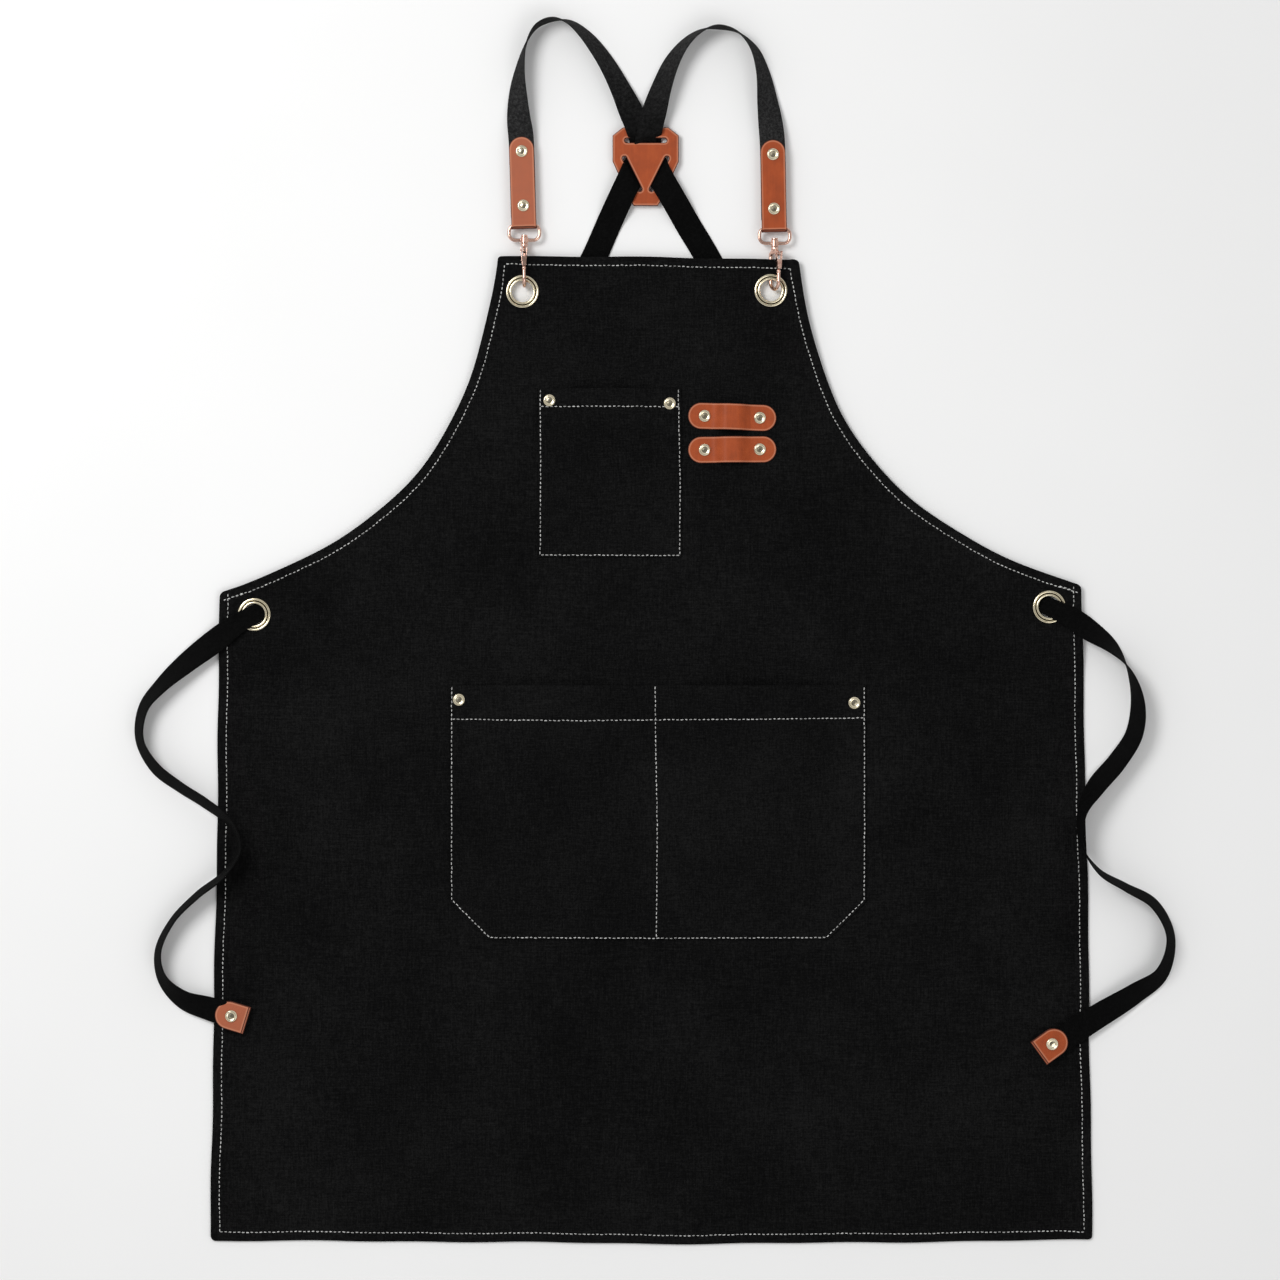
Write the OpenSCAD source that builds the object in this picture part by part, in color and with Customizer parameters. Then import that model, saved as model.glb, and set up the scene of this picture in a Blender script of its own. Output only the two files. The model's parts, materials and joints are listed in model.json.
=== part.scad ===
// Cross-back work apron, laid flat and face up. X is its width, Y runs from the hem to the bib
// and Z is up. The origin is the middle of the panel, on its back face.

/* [Panel] */
// Width of the bottom edge
hem_w = 700; // [660:5:740]
// Width at the waist corners
waist_w = 684; // [650:2:700]
// Width of the top of the bib
bib_w = 239; // [230:1:250]
// Height of the top of the bib above the origin
bib_y = 390; // [384:1:396]
// Height of the waist corners above the origin
waist_y = 128; // [120:1:136]
// Depth of the bottom edge below the origin
hem_y = 390; // [360:1:420]
// Thickness of the canvas
canvas_t = 0.8; // [0.6:0.1:1]
// Thickness of the folded hem
hem_t = 2.4; // [1.8:0.1:2.6]
// Width of the folded hem
hem_fold = 10; // [8:1:12]

/* [Pockets] */
// Width of the chest pocket
chest_w = 113.5; // [100:0.5:116]
// Height of the chest pocket
chest_h = 133.5; // [120:0.5:140]
// Width of the lower pocket
lower_w = 330; // [300:1:340]
// Height of the lower pocket
lower_h = 201.5; // [190:0.5:210]
// How far the chest pocket's mouth stands open
chest_gape = 6.5; // [5:0.5:8]
// How far each lower pocket's mouth stands open
lower_gape = 8; // [6:0.5:10]

/* [Leather] */
// Thickness of one layer of leather
leather_t = 1.5; // [1.2:0.1:1.6]
// Length of a brush loop
brush_l = 70; // [68:1:72]
// Width of a brush loop
brush_w = 21; // [19:1:22]
// Height of the tunnel under a brush loop
brush_gap = 6; // [5:0.5:7]
// Length of a strap tab
tab_l = 73; // [72:1:76]
// Height of the cross slider
slider_h = 62; // [60:1:64]
// Thickness of the cross slider
slider_t = 2.4; // [2:0.1:2.6]

/* [Hardware] */
// Outer radius of an eyelet's flange
eyelet_r = 13.2; // [12.5:0.1:13.5]
// Radius of the hole through an eyelet
eyelet_hole_r = 8.5; // [8:0.1:8.8]
// Diameter of a rivet's cap
rivet_d = 9.5; // [8:0.1:10]
// Radius of the hook's wire
wire_r = 1.4; // [1.2:0.1:1.4]
// Width of the webbing
web_w = 20; // [18:0.5:20]
// Thickness of the webbing
web_t = 1.4; // [1.2:0.1:1.4]

/* [Hidden] */
$fn = 48;

canvas_c = [0.05, 0.05, 0.055];
web_c = [0.14, 0.14, 0.15];
leather_c = [0.7, 0.34, 0.19];
gold_c = [0.84, 0.78, 0.62];
rose_c = [0.88, 0.66, 0.56];

eps = 0.01;
big = 1200;

// How far the panel's back face is lifted: over the straps, then over the hooks
mid_lift = 3.2;
top_lift = 5;
lift_line = [[-500, 0], [60, 0], [92, mid_lift], [292, mid_lift], [338, top_lift], [500, top_lift]];
bib_front = top_lift + canvas_t;
mid_front = mid_lift + canvas_t;

// The bib lies a little to the left and turned by a hair
bib_shift = -3.5;
bib_lean = 2;
waist_lean = -3;
armhole_n = 20;

function bezier(p, t) =
  pow(1 - t, 3) * p[0] + 3 * pow(1 - t, 2) * t * p[1] + 3 * (1 - t) * t * t * p[2] + pow(t, 3) * p[3];
function bib_corner(s) = [bib_shift + s * bib_w / 2, bib_y - s * bib_lean];
function waist_corner(s) = [s * waist_w / 2 - 1, waist_y - s * waist_lean];
function armhole_handles(s) = [
  bib_corner(s),
  bib_corner(s) + 130 * [s * sin(7), -cos(7)],
  waist_corner(s) + 165 * [-s * cos(17), sin(17)],
  waist_corner(s)
];
function armhole(s) = [for (i = [0:armhole_n]) bezier(armhole_handles(s), i / armhole_n)];
function reversed(v) = [for (i = [len(v) - 1:-1:0]) v[i]];
// The outline runs clockwise from the bib's left corner
outline = concat(
  armhole(1), [[hem_w / 2, 0.5 - hem_y], [0, -hem_y - 2], [-hem_w / 2, 0.5 - hem_y]], reversed(armhole(-1))
);

function unit(v) = v / norm(v);
function right_of(v) = [v[1], -v[0]];
// Moves an outline point inwards, square to both of its edges
function inset_point(p, i, d) =
  let (n = len(p), a = unit(p[i] - p[(i + n - 1) % n]), b = unit(p[(i + 1) % n] - p[i]))
  let (m = unit(right_of(a) + right_of(b)))
  p[i] + m * d / (m * right_of(a));
function inset(p, d) = [for (i = [0:len(p) - 1]) inset_point(p, i, d)];

module lifted(t) {
  rotate([90, 0, 90])
    translate([0, 0, -big / 2])
      linear_extrude(big)
        polygon(concat(lift_line, reversed([for (p = lift_line) p + [0, t]])));
}

module prism(p, z0 = -1, h = 30) {
  translate([0, 0, z0])
    linear_extrude(h)
      polygon(p);
}

// Places of the eyelets
bib_eyelets_at = [[-102.6, 362.6], [94, 363.4]];
side_eyelets_at = [[-315, 107], [314.5, 113]];
barrel_r = 9.3;

// Places of the rivets on the panel
chest_x = -33.3;
chest_top = 286;
lower_x = 4.7;
lower_top = 51;
lower_seam_x = 3.5;
lower_chamfer = 30;
chest_rivets_at = [[-81.3, 276.5], [14, 274]];
lower_rivets_at = [[-153, 39.5], [160.3, 37]];
brush_x = 63.5;
brush_y = [263.4, 237.5];
brush_rivet_dx = 21.8;
brush_tilt = [-2, 0.5];
rivet_hole_r = 1.6;
// The lower pocket's back caps are pressed this deep into the cloth they lie on
sunk_h = 0.4;

module brush_rivet_spots(z) {
  for (i = [0, 1], s = [-1, 1])
    translate([brush_x, brush_y[i], z])
      rotate([0, 0, brush_tilt[i]])
        translate([s * brush_rivet_dx, 0, 0])
          children();
}
module spots(at, z) {
  for (p = at)
    translate([p[0], p[1], z])
      children();
}

module apron_panel() {
  color(canvas_c)
    difference() {
      union() {
        intersection() {
          lifted(canvas_t);
          prism(outline);
        }
        intersection() {
          lifted(hem_t);
          difference() {
            prism(outline);
            prism(inset(outline, hem_fold), -2, 32);
          }
        }
      }
      spots(concat(bib_eyelets_at, side_eyelets_at), -1)
        cylinder(r = barrel_r + 0.1, h = 20);
      spots(concat(chest_rivets_at, lower_rivets_at), -1)
        cylinder(r = rivet_hole_r, h = 20);
      spots(lower_rivets_at, -1)
        cylinder(d = rivet_d - 0.9, h = 1 + sunk_h);
      brush_rivet_spots(-1)
        cylinder(r = rivet_hole_r, h = 20);
    }
}

// A thin sheet over a grid: u runs across from -1 to 1, v up from 0 to 1
module grid_sheet(nu, nv, half, y0, h, z0, t, bulge) {
  rows = [for (j = [0:nv]) for (i = [0:nu]) let (u = 2 * i / nu - 1, v = j / nv)
    [half[j] * u, y0 + h * v, z0 + bulge[j][i]]];
  n = len(rows);
  w = nu + 1;
  points = concat(rows, [for (p = rows) p + [0, 0, t]]);
  under = [for (j = [0:nv - 1]) for (i = [0:nu - 1]) let (a = j * w + i) [a, a + 1, a + w + 1, a + w]];
  over = [for (f = under) [for (k = reversed(f)) k + n]];
  front = [for (i = [0:nu - 1]) [i + 1, i, i + n, i + 1 + n]];
  back = [for (i = [0:nu - 1]) let (a = nv * w + i) [a, a + 1, a + 1 + n, a + n]];
  left = [for (j = [0:nv - 1]) let (a = j * w) [a, a + w, a + w + n, a + n]];
  right = [for (j = [0:nv - 1]) let (a = j * w + nu) [a + w, a, a + n, a + w + n]];
  polyhedron(points, concat(under, over, front, back, left, right));
}

// Rises from 0 to 1 and stays there
function rise(x, over) = x <= 0 ? 0 : x >= over ? 1 : (1 - cos(180 * x / over)) / 2;
// A pocket's gape: flat beside each seam, open in between and closing towards the bottom
function gape(x, half, margin) = rise(half - abs(x) - margin, half * 0.5);
function mouth(v) = rise(v - 0.12, 0.6);

chest_nu = 36;
chest_nv = 10;
module chest_pocket() {
  half = chest_w / 2;
  color(canvas_c)
    difference() {
      translate([chest_x, 0, 0])
        grid_sheet(chest_nu, chest_nv, [for (j = [0:chest_nv]) half], chest_top - chest_h, chest_h,
          mid_front, canvas_t, [for (j = [0:chest_nv]) [for (i = [0:chest_nu])
            chest_gape * mouth(j / chest_nv) * gape(half * (2 * i / chest_nu - 1), half, 16)]]);
      spots(chest_rivets_at, 0)
        cylinder(r = rivet_hole_r, h = 20);
    }
}

lower_nu = 56;
lower_nv = 12;
// Half the width of the lower pocket at a height v, with its corners cut off
function lower_half(v) = lower_w / 2 - max(0, lower_chamfer - v * lower_h);
function lower_bulge(x, v) =
  let (half = lower_w / 4, mid = lower_seam_x - lower_x, side = x < mid ? -1 : 1)
  lower_gape * mouth(v) * gape(x - mid - side * half, half, 17);
module lower_pocket() {
  color(canvas_c)
    difference() {
      translate([lower_x, 0, 0])
        grid_sheet(lower_nu, lower_nv, [for (j = [0:lower_nv]) lower_half(j / lower_nv)],
          lower_top - lower_h, lower_h, canvas_t, canvas_t,
          [for (j = [0:lower_nv]) [for (i = [0:lower_nu]) let (v = j / lower_nv)
            lower_bulge(lower_half(v) * (2 * i / lower_nu - 1), v)]]);
      spots(lower_rivets_at, -1)
        cylinder(r = rivet_hole_r, h = 20);
    }
}

// A leather strip riveted at both ends, arched between the rivets
brush_arch_w = 33;
brush_arch = [for (i = [-12:12]) let (x = i / 12) [x * brush_arch_w / 2, brush_gap * rise(1 - abs(x), 0.75)]];
brush_line = concat([[-brush_l / 2, 0]], brush_arch, [[brush_l / 2, 0]]);
module brush_loop(i) {
  color(leather_c)
    translate([brush_x, brush_y[i], mid_front])
      rotate([0, 0, brush_tilt[i]])
        difference() {
          intersection() {
            rotate([90, 0, 0])
              translate([0, 0, -brush_w])
                linear_extrude(2 * brush_w)
                  polygon(concat(brush_line, reversed([for (p = brush_line) p + [0, leather_t]])));
            union() {
              translate([brush_w / 2 - brush_l / 2, -brush_w / 2, -1])
                cube([brush_l - brush_w, brush_w, 20]);
              for (s = [-1, 1])
                translate([s * (brush_l - brush_w) / 2, 0, -1])
                  cylinder(r = brush_w / 2, h = 20);
            }
          }
          for (s = [-1, 1])
            translate([s * brush_rivet_dx, 0, -2])
              cylinder(r = rivet_hole_r, h = 20);
        }
}

// An eyelet: a rounded flange in front, a barrel through the cloth and a lip behind
flange_t = 1.6;
washer_t = 0.7;
module eyelet() {
  color(gold_c)
    rotate_extrude($fn = 64)
      difference() {
        union() {
          translate([eyelet_hole_r, -canvas_t - washer_t - 0.2])
            square([barrel_r - eyelet_hole_r, canvas_t + washer_t + 0.2 + flange_t / 2]);
          translate([eyelet_hole_r + flange_t / 2, 0])
            square([eyelet_r - eyelet_hole_r - flange_t, flange_t]);
          for (r = [eyelet_hole_r + flange_t / 2, eyelet_r - flange_t / 2])
            translate([r, flange_t / 2])
              circle(r = flange_t / 2);
        }
        translate([0, -20])
          square([eyelet_hole_r, 40]);
      }
}
module eyelet_washer() {
  color(gold_c)
    translate([0, 0, -canvas_t - washer_t])
      difference() {
        cylinder(r = eyelet_r - 0.2, h = washer_t, $fn = 64);
        translate([0, 0, -1])
          cylinder(r = barrel_r + 0.05, h = 3, $fn = 64);
      }
}
module bib_eyelets() {
  spots(bib_eyelets_at, bib_front)
    eyelet();
}
module bib_eyelet_washers() {
  spots(bib_eyelets_at, bib_front)
    eyelet_washer();
}
module side_eyelets() {
  spots(side_eyelets_at, mid_front)
    eyelet();
}
module side_eyelet_washers() {
  spots(side_eyelets_at, mid_front)
    eyelet_washer();
}

// A double-cap rivet: the front piece is a domed cap with its post, the back piece a low cap
cap_h = 1.6;
back_h = 0.8;
post_r = 1.5;
module rivet(grip) {
  color(gold_c) {
    intersection() {
      cylinder(d = rivet_d, h = cap_h);
      translate([0, 0, cap_h - 8])
        sphere(r = 8);
    }
    translate([0, 0, -grip])
      cylinder(r = post_r, h = grip + eps);
  }
}
module rivet_back(grip, h = back_h) {
  color(gold_c)
    translate([0, 0, -grip - h])
      cylinder(d = rivet_d - 1, h = h);
}

// The hooks: where each swivel's centre lies, and how far each hook is turned at rest
swivel_z = 7.5;
hooks_at = [[-101, 403, swivel_z], [97, 400.5, swivel_z]];
hook_turn = [0, 30];
loop_half_w = 12;
loop_rise = 12;
loop_corner_r = 5;
boss_r = 3;
boss_half = 2.6;
stem_r = 1.5;
limb_r = 6;
straight_y = -30.2;
tip_y = -22.5;
pivot_y = -8.5;
pivot_r = 0.75;

module along_y(y0, y1, r) {
  translate([0, y0, 0])
    rotate([-90, 0, 0])
      cylinder(r = r, h = y1 - y0);
}
module along_x(x0, x1, r) {
  translate([x0, 0, 0])
    rotate([0, 90, 0])
      cylinder(r = r, h = x1 - x0);
}

// A closed wire loop with a boss for the hook's stem in its lower bar
module swivel_loop(i) {
  dx = loop_half_w - loop_corner_r;
  dy = loop_rise - loop_corner_r;
  color(rose_c)
    translate(hooks_at[i])
      difference() {
        union() {
          along_y(-boss_half, boss_half, boss_r);
          for (y = [0, loop_rise])
            translate([0, y, 0])
              along_x(-dx, dx, wire_r);
          for (s = [-1, 1]) {
            translate([s * loop_half_w, 0, 0])
              along_y(loop_corner_r, dy, wire_r);
            translate([s * dx, loop_corner_r, 0])
              rotate([0, 0, s > 0 ? -90 : 180])
                rotate_extrude(angle = 90)
                  translate([loop_corner_r, 0])
                    circle(r = wire_r);
            translate([s * dx, dy, 0])
              rotate([0, 0, s > 0 ? 0 : 90])
                rotate_extrude(angle = 90)
                  translate([loop_corner_r, 0])
                    circle(r = wire_r);
          }
        }
        along_y(-10, 10, stem_r + 0.06);
      }
}

// The room that a tab's leather leaves round the loop's upper bar and corners
module loop_room(i) {
  dx = loop_half_w - loop_corner_r;
  translate(hooks_at[i])
    for (s = [-1, 1])
      translate([s * dx, loop_rise - loop_corner_r, 0])
        rotate([0, 0, s > 0 ? 0 : 90])
          rotate_extrude(angle = 90)
            translate([loop_corner_r, 0])
              circle(r = wire_r + 0.15);
}

// Puts a hook's own shape at its swivel, turned as it lies. Its limbs are above and below Y.
module hung(i) {
  translate(hooks_at[i])
    rotate([0, hook_turn[i], 0])
      children();
}
yoke = [
  [-3, 2.6], [-5, 3], [-7.2, 6], [-7.4, 7.4], [-9.6, 7.4], [-10.2, 5], [-8, 1],
  [-8.6, -4], [-10, -4.8], [-10, -7], [-7.6, -7], [-5, -3.4], [-3, -2.6]
];
module snap_hook(i) {
  color(rose_c)
    hung(i)
      difference() {
        union() {
          along_y(-6, 3.1, stem_r);
          along_y(2.9, 4.2, 2.5);
          along_y(-5, -2.9, 2.9);
          translate([-1, 0, 0])
            rotate([90, 0, 90])
              linear_extrude(2)
                polygon(yoke);
          translate([0, 0, -limb_r])
            along_y(straight_y, -7.6, wire_r);
          translate([0, straight_y, 0])
            rotate([0, 90, 0])
              rotate([0, 0, 180])
                rotate_extrude(angle = 180)
                  translate([limb_r, 0])
                    circle(r = wire_r);
          translate([0, 0, limb_r])
            along_y(straight_y, tip_y, wire_r);
          translate([0, tip_y, limb_r])
            sphere(r = 1.75);
        }
        translate([0, pivot_y, limb_r])
          along_x(-5, 5, pivot_r + 0.05);
      }
}

// The gate: a tapered channel over the hook's lug, closing on the hook's tip
gate_w = 5.6;
gate_end_w = 3;
gate_in = 1.9;
gate_top = 1.7;
module gate(i) {
  end_y = tip_y + 1.95;
  color(rose_c)
    hung(i)
      translate([0, 0, limb_r])
        difference() {
          translate([0, 0, -1.2])
            linear_extrude(gate_top + 1.2)
              polygon([[-gate_w / 2, pivot_y + 2], [gate_w / 2, pivot_y + 2],
                [gate_end_w / 2, end_y], [-gate_end_w / 2, end_y]]);
          translate([-gate_in, pivot_y - 4.5, -3])
            cube([2 * gate_in, 8, 3 + gate_top + 2]);
          translate([0, pivot_y, 0])
            along_x(-5, 5, pivot_r + 0.05);
        }
}
module gate_pin(i) {
  color(rose_c)
    hung(i)
      translate([0, pivot_y, limb_r])
        along_x(-gate_w / 2 - 0.3, gate_w / 2 + 0.3, pivot_r);
}
// A two-turn torsion spring on the pin, between the lug and the gate's cheek
spring_wire_r = 0.2;
spring_r = 1.05;
module gate_spring(i) {
  color("silver")
    hung(i)
      translate([0, pivot_y, limb_r])
        for (s = [-1, 1])
          translate([s * 1.45, 0, 0])
            rotate([0, 90, 0])
              rotate_extrude($fn = 24)
                translate([spring_r, 0])
                  circle(r = spring_wire_r, $fn = 16);
}

// A strap tab: leather folded round the loop's upper bar, with the webbing between its layers
tab_lean = [1.8, 1.1];
tab_w = 19.8;
eye_r = 1.75;
fold_r = eye_r + leather_t;
web_gap = web_t / 2 + 0.05;
tab_rivet_y = [61.5, 18.5];
module at_tab(i) {
  translate(hooks_at[i] + [-0.3, loop_rise, 0])
    rotate([0, 0, tab_lean[i]])
      children();
}
module strap_tab(i) {
  top = tab_l - fold_r;
  layer = web_gap + leather_t;
  color(leather_c)
    difference() {
      at_tab(i)
        strap_tab_body(top, layer);
      loop_room(i);
    }
}
module strap_tab_body(top, layer) {
  difference() {
    intersection() {
      translate([-tab_w / 2, 0, 0])
        rotate([90, 0, 90])
          linear_extrude(tab_w)
            difference() {
              union() {
                circle(r = fold_r);
                polygon([[0, -fold_r], [5, -layer], [top, -layer], [top, layer], [5, layer], [0, fold_r]]);
              }
              circle(r = eye_r);
              translate([0, -web_gap])
                square([tab_l, 2 * web_gap]);
            }
      union() {
        translate([-tab_w / 2, -10, -10])
          cube([tab_w, top + 10 - tab_w / 2, 20]);
        translate([0, top - tab_w / 2, -10])
          cylinder(r = tab_w / 2, h = 20);
      }
    }
    for (y = tab_rivet_y)
      translate([0, y - fold_r, -10])
        cylinder(r = rivet_hole_r, h = 20);
  }
}
tab_half_t = web_gap + leather_t;
module tab_rivet_spots() {
  for (i = [0, 1], y = tab_rivet_y)
    at_tab(i)
      translate([0, y - fold_r, tab_half_t])
        children();
}

// The cross slider: an octagonal leather plate with one level slot and two slanting ones
slider_at = [-5, 492.5, 3.6];
slot_h = 3.6;
slider_half = [
  [18, 0], [26.2, -6.5], [26.2, -27], [11.5, -slider_h + 3], [9.5, -slider_h]
];
module slot(a, b) {
  d = b - a;
  translate([a[0], a[1], -5])
    rotate([0, 0, atan2(d[1], d[0])]) {
      translate([0, -slot_h / 2, 0])
        cube([norm(d), slot_h, 20]);
      cylinder(d = slot_h, h = 20);
      translate([norm(d), 0, 0])
        cylinder(d = slot_h, h = 20);
    }
}
module cross_slider() {
  color(leather_c)
    translate(slider_at)
      difference() {
        linear_extrude(slider_t)
          polygon(concat(slider_half, reversed([for (p = slider_half) [-p[0], p[1]]])));
        slot([-15, -10.3], [15, -10.3]);
        slot([-16.8, -24.5], [-4.6, -49]);
        slot([16.8, -24.5], [4.6, -49]);
      }
}

// Strap routes, from the hook's tab to the tie's end: x, y, z, roll about the strap's own
// direction in degrees, and half the width. The straps lie flat at roll 0 and on edge at 90.
full = web_w / 2;
left_route = [
  [-101.6, 421, 7.5, 0, full], [-103.6, 484, 7.5, 0, full], [-105.4, 499, 7.9, 20, full],
  [-106, 513, 8.7, 38, full], [-105, 534, 10.1, 62, full], [-100.4, 556, 10.5, 82, full],
  [-91.6, 571.6, 10.7, 92, full], [-79, 577.2, 10.7, 91, full], [-66, 575.4, 10.2, 73, full],
  [-53, 565.4, 9.8, 60, full], [-37, 544.6, 9.4, 48, full],
  [-23.6, 520, 8.6, 32, full], [-13, 497, 7.2, 6, full], [-8.6, 485.6, 6.9, 0, full],
  [-6, 479, 2.3, 0, full], [4.2, 459.2, 2.3, 0, full], [7.4, 452.2, 7, 0, full], [19, 432, 6.6, 0, full],
  [29, 415, 1.4, 0, full], [44, 390, 0.9, 0, full], [80, 322, 0.9, 0, full],
  [122, 254, 0.9, 0, full], [176, 193, 0.9, 0, full], [240, 149, 0.9, 0, full],
  [300, 120, 0.9, 0, 8], [314.5, 113, 3.8, 0, 6], [328, 106.5, 6.9, 0, 7],
  [347, 94, 6.2, 30, full], [365, 80, 9.2, 57, full], [377.5, 62, 10.8, 93, full],
  [384, 37, 10.2, 116, full], [381, 12, 9.4, 128, full], [368, -9, 8.9, 134, full],
  [350.5, -29.5, 11.5, 132, full], [339.5, -50, 13.7, 106, full], [339, -74, 13.5, 90, full],
  [353, -96, 13.2, 79, full], [374, -108.5, 11.1, 72, full], [397, -122, 9.8, 67, full],
  [410, -148, 9.6, 63, full], [403, -177, 8.5, 49, full], [382, -193, 6.6, 28, full],
  [352, -211.5, 5.6, 8, full], [330, -226, 5, 0, full], [308, -239.5, 5, 0, full]
];
right_route = [
  [96.4, 419, 7.5, 0, full], [95.2, 480, 7.5, 0, full], [93.8, 495, 7.7, -12, full],
  [91.6, 511, 8.4, -30, full], [87.6, 536, 9.8, -56, full], [80.6, 554.6, 10.1, -70, full],
  [67.6, 567.4, 10.5, -84, full], [52, 571.2, 10.7, -92, full], [40, 568.8, 10.4, -79, full],
  [28, 560.6, 9.8, -66, full], [16.4, 545, 9.3, -50, full],
  [7, 522, 9.2, -34, full], [0, 498, 8.6, -4, full], [-2.6, 485.8, 8.4, 0, full],
  [-4.4, 478.6, 0.9, 0, full], [-14.2, 459.4, 0.9, 0, full], [-17.4, 452.2, 7, 0, full], [-26, 434, 6.6, 0, full],
  [-34, 417, 1.4, 0, full], [-46, 390, 0.9, 0, full], [-82, 322, 0.9, 0, full],
  [-124, 254, 0.9, 0, full], [-178, 192, 0.9, 0, full], [-242, 147, 0.9, 0, full],
  [-300, 115, 0.9, 0, 8], [-315, 107, 3.8, 0, 6], [-329, 99, 6.9, 0, 7],
  [-348, 84.5, 6, -16, full], [-368, 69, 6.6, -33, full], [-388, 51, 8.1, -51, full],
  [-402, 33, 9.4, -61, full], [-405, 8, 9.7, -64, full], [-393, -14, 9.5, -59, full],
  [-373, -29.5, 10, -62, full], [-353, -42, 11.9, -63, full], [-333, -58, 12.7, -70, full],
  [-326, -78, 12.8, -76, full], [-338, -98, 12.7, -76, full], [-359.5, -115, 10.7, -73, full],
  [-379, -135, 10.2, -75, full], [-390.5, -160, 10, -70, full], [-387, -181, 9.4, -60, full],
  [-371, -197.5, 7.4, -38, full], [-350, -205, 6, -14, full], [-324, -213, 5, 0, full]
];

// One strap: a flat section carried square to the route, turned by each point's roll
function forward(r, i) =
  let (a = r[max(0, i - 1)], b = r[min(len(r) - 1, i + 1)])
  unit([b[0] - a[0], b[1] - a[1], b[2] - a[2]]);
function ring(r, i) =
  let (f = forward(r, i), side = unit(cross(f, [0, 0, 1])), up = cross(side, f), w = r[i][4], t = web_t / 2)
  let (c = [r[i][0], r[i][1], r[i][2]], a = r[i][3])
  let (across = side * cos(a) + up * sin(a), face = up * cos(a) - side * sin(a))
  [for (q = [[1, -0.5], [1, 0.5], [0.9, 1], [-0.9, 1], [-1, 0.5], [-1, -0.5], [-0.9, -1], [0.9, -1]])
    c + across * q[0] * w + face * q[1] * t];
module strap(route) {
  n = len(route);
  points = [for (i = [0:n - 1]) for (p = ring(route, i)) p];
  sides = [for (i = [0:n - 2]) for (k = [0:7])
    let (a = i * 8 + k, b = i * 8 + (k + 1) % 8)
    for (f = k < 4 ? [[a, b, b + 8], [a, b + 8, a + 8]] : [[a, b, a + 8], [b, b + 8, a + 8]]) f];
  color(web_c)
    polyhedron(points, concat(sides, [[for (k = [7:-1:0]) k], [for (k = [0:7]) (n - 1) * 8 + k]]));
}

// An end tab: leather folded over the end of a tie, rounded towards the strap
end_tab_w = 22;
end_tab_l = 26;
end_tabs_at = [[-320.5, -214.5, 5, -17], [306, -240.5, 5, 216]];
end_rivet_x = 13;
module at_end_tab(i) {
  p = end_tabs_at[i];
  translate([p[0], p[1], p[2]])
    rotate([0, 0, p[3]])
      children();
}
module end_tab(i) {
  r = end_tab_w / 2;
  color(leather_c)
    at_end_tab(i)
      difference() {
        translate([0, 0, -tab_half_t])
          linear_extrude(2 * tab_half_t)
            difference() {
              union() {
                translate([r - end_tab_l, 0])
                  circle(r = r);
                translate([r - end_tab_l, -r])
                  square([end_tab_l - r, end_tab_w]);
              }
              translate([-end_rivet_x, 0])
                circle(r = rivet_hole_r);
            }
        translate([-end_tab_l - 1, -r - 1, -web_gap])
          cube([end_tab_l - leather_t + 1, end_tab_w + 2, 2 * web_gap]);
      }
}

module left_strap() {
  strap(left_route);
}
module right_strap() {
  strap(right_route);
}
module tab_rivets() {
  tab_rivet_spots()
    rivet(2 * tab_half_t);
}
module tab_rivet_backs() {
  tab_rivet_spots()
    rivet_back(2 * tab_half_t);
}
module end_tab_rivets() {
  for (i = [0, 1])
    at_end_tab(i)
      translate([-end_rivet_x, 0, tab_half_t])
        rivet(2 * tab_half_t);
}
module end_tab_rivet_backs() {
  for (i = [0, 1])
    at_end_tab(i)
      translate([-end_rivet_x, 0, tab_half_t])
        rivet_back(2 * tab_half_t);
}
module pocket_rivets() {
  spots(chest_rivets_at, mid_front + canvas_t)
    rivet(2 * canvas_t);
  spots(lower_rivets_at, 2 * canvas_t)
    rivet(2 * canvas_t - sunk_h);
}
module pocket_rivet_backs() {
  spots(chest_rivets_at, mid_front + canvas_t)
    rivet_back(2 * canvas_t);
  spots(lower_rivets_at, 2 * canvas_t)
    rivet_back(2 * canvas_t - sunk_h, sunk_h);
}
module brush_loop_rivets() {
  brush_rivet_spots(mid_front + leather_t)
    rivet(leather_t + canvas_t);
}
module brush_loop_rivet_backs() {
  brush_rivet_spots(mid_front + leather_t)
    rivet_back(leather_t + canvas_t);
}

apron_panel();
chest_pocket();
lower_pocket();
brush_loop(0);  // upper_brush_loop
brush_loop(1);  // lower_brush_loop
bib_eyelets();
bib_eyelet_washers();
side_eyelets();
side_eyelet_washers();
strap_tab(0);  // left_strap_tab
strap_tab(1);  // right_strap_tab
swivel_loop(0);  // left_swivel_loop
swivel_loop(1);  // right_swivel_loop
snap_hook(0);  // left_snap_hook
snap_hook(1);  // right_snap_hook
gate(0);  // left_gate
gate(1);  // right_gate
gate_pin(0);  // left_gate_pin
gate_pin(1);  // right_gate_pin
gate_spring(0);  // left_gate_spring
gate_spring(1);  // right_gate_spring
cross_slider();
left_strap();
right_strap();
end_tab(0);  // left_end_tab
end_tab(1);  // right_end_tab
tab_rivets();
tab_rivet_backs();
end_tab_rivets();
end_tab_rivet_backs();
pocket_rivets();
pocket_rivet_backs();
brush_loop_rivets();
brush_loop_rivet_backs();
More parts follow.
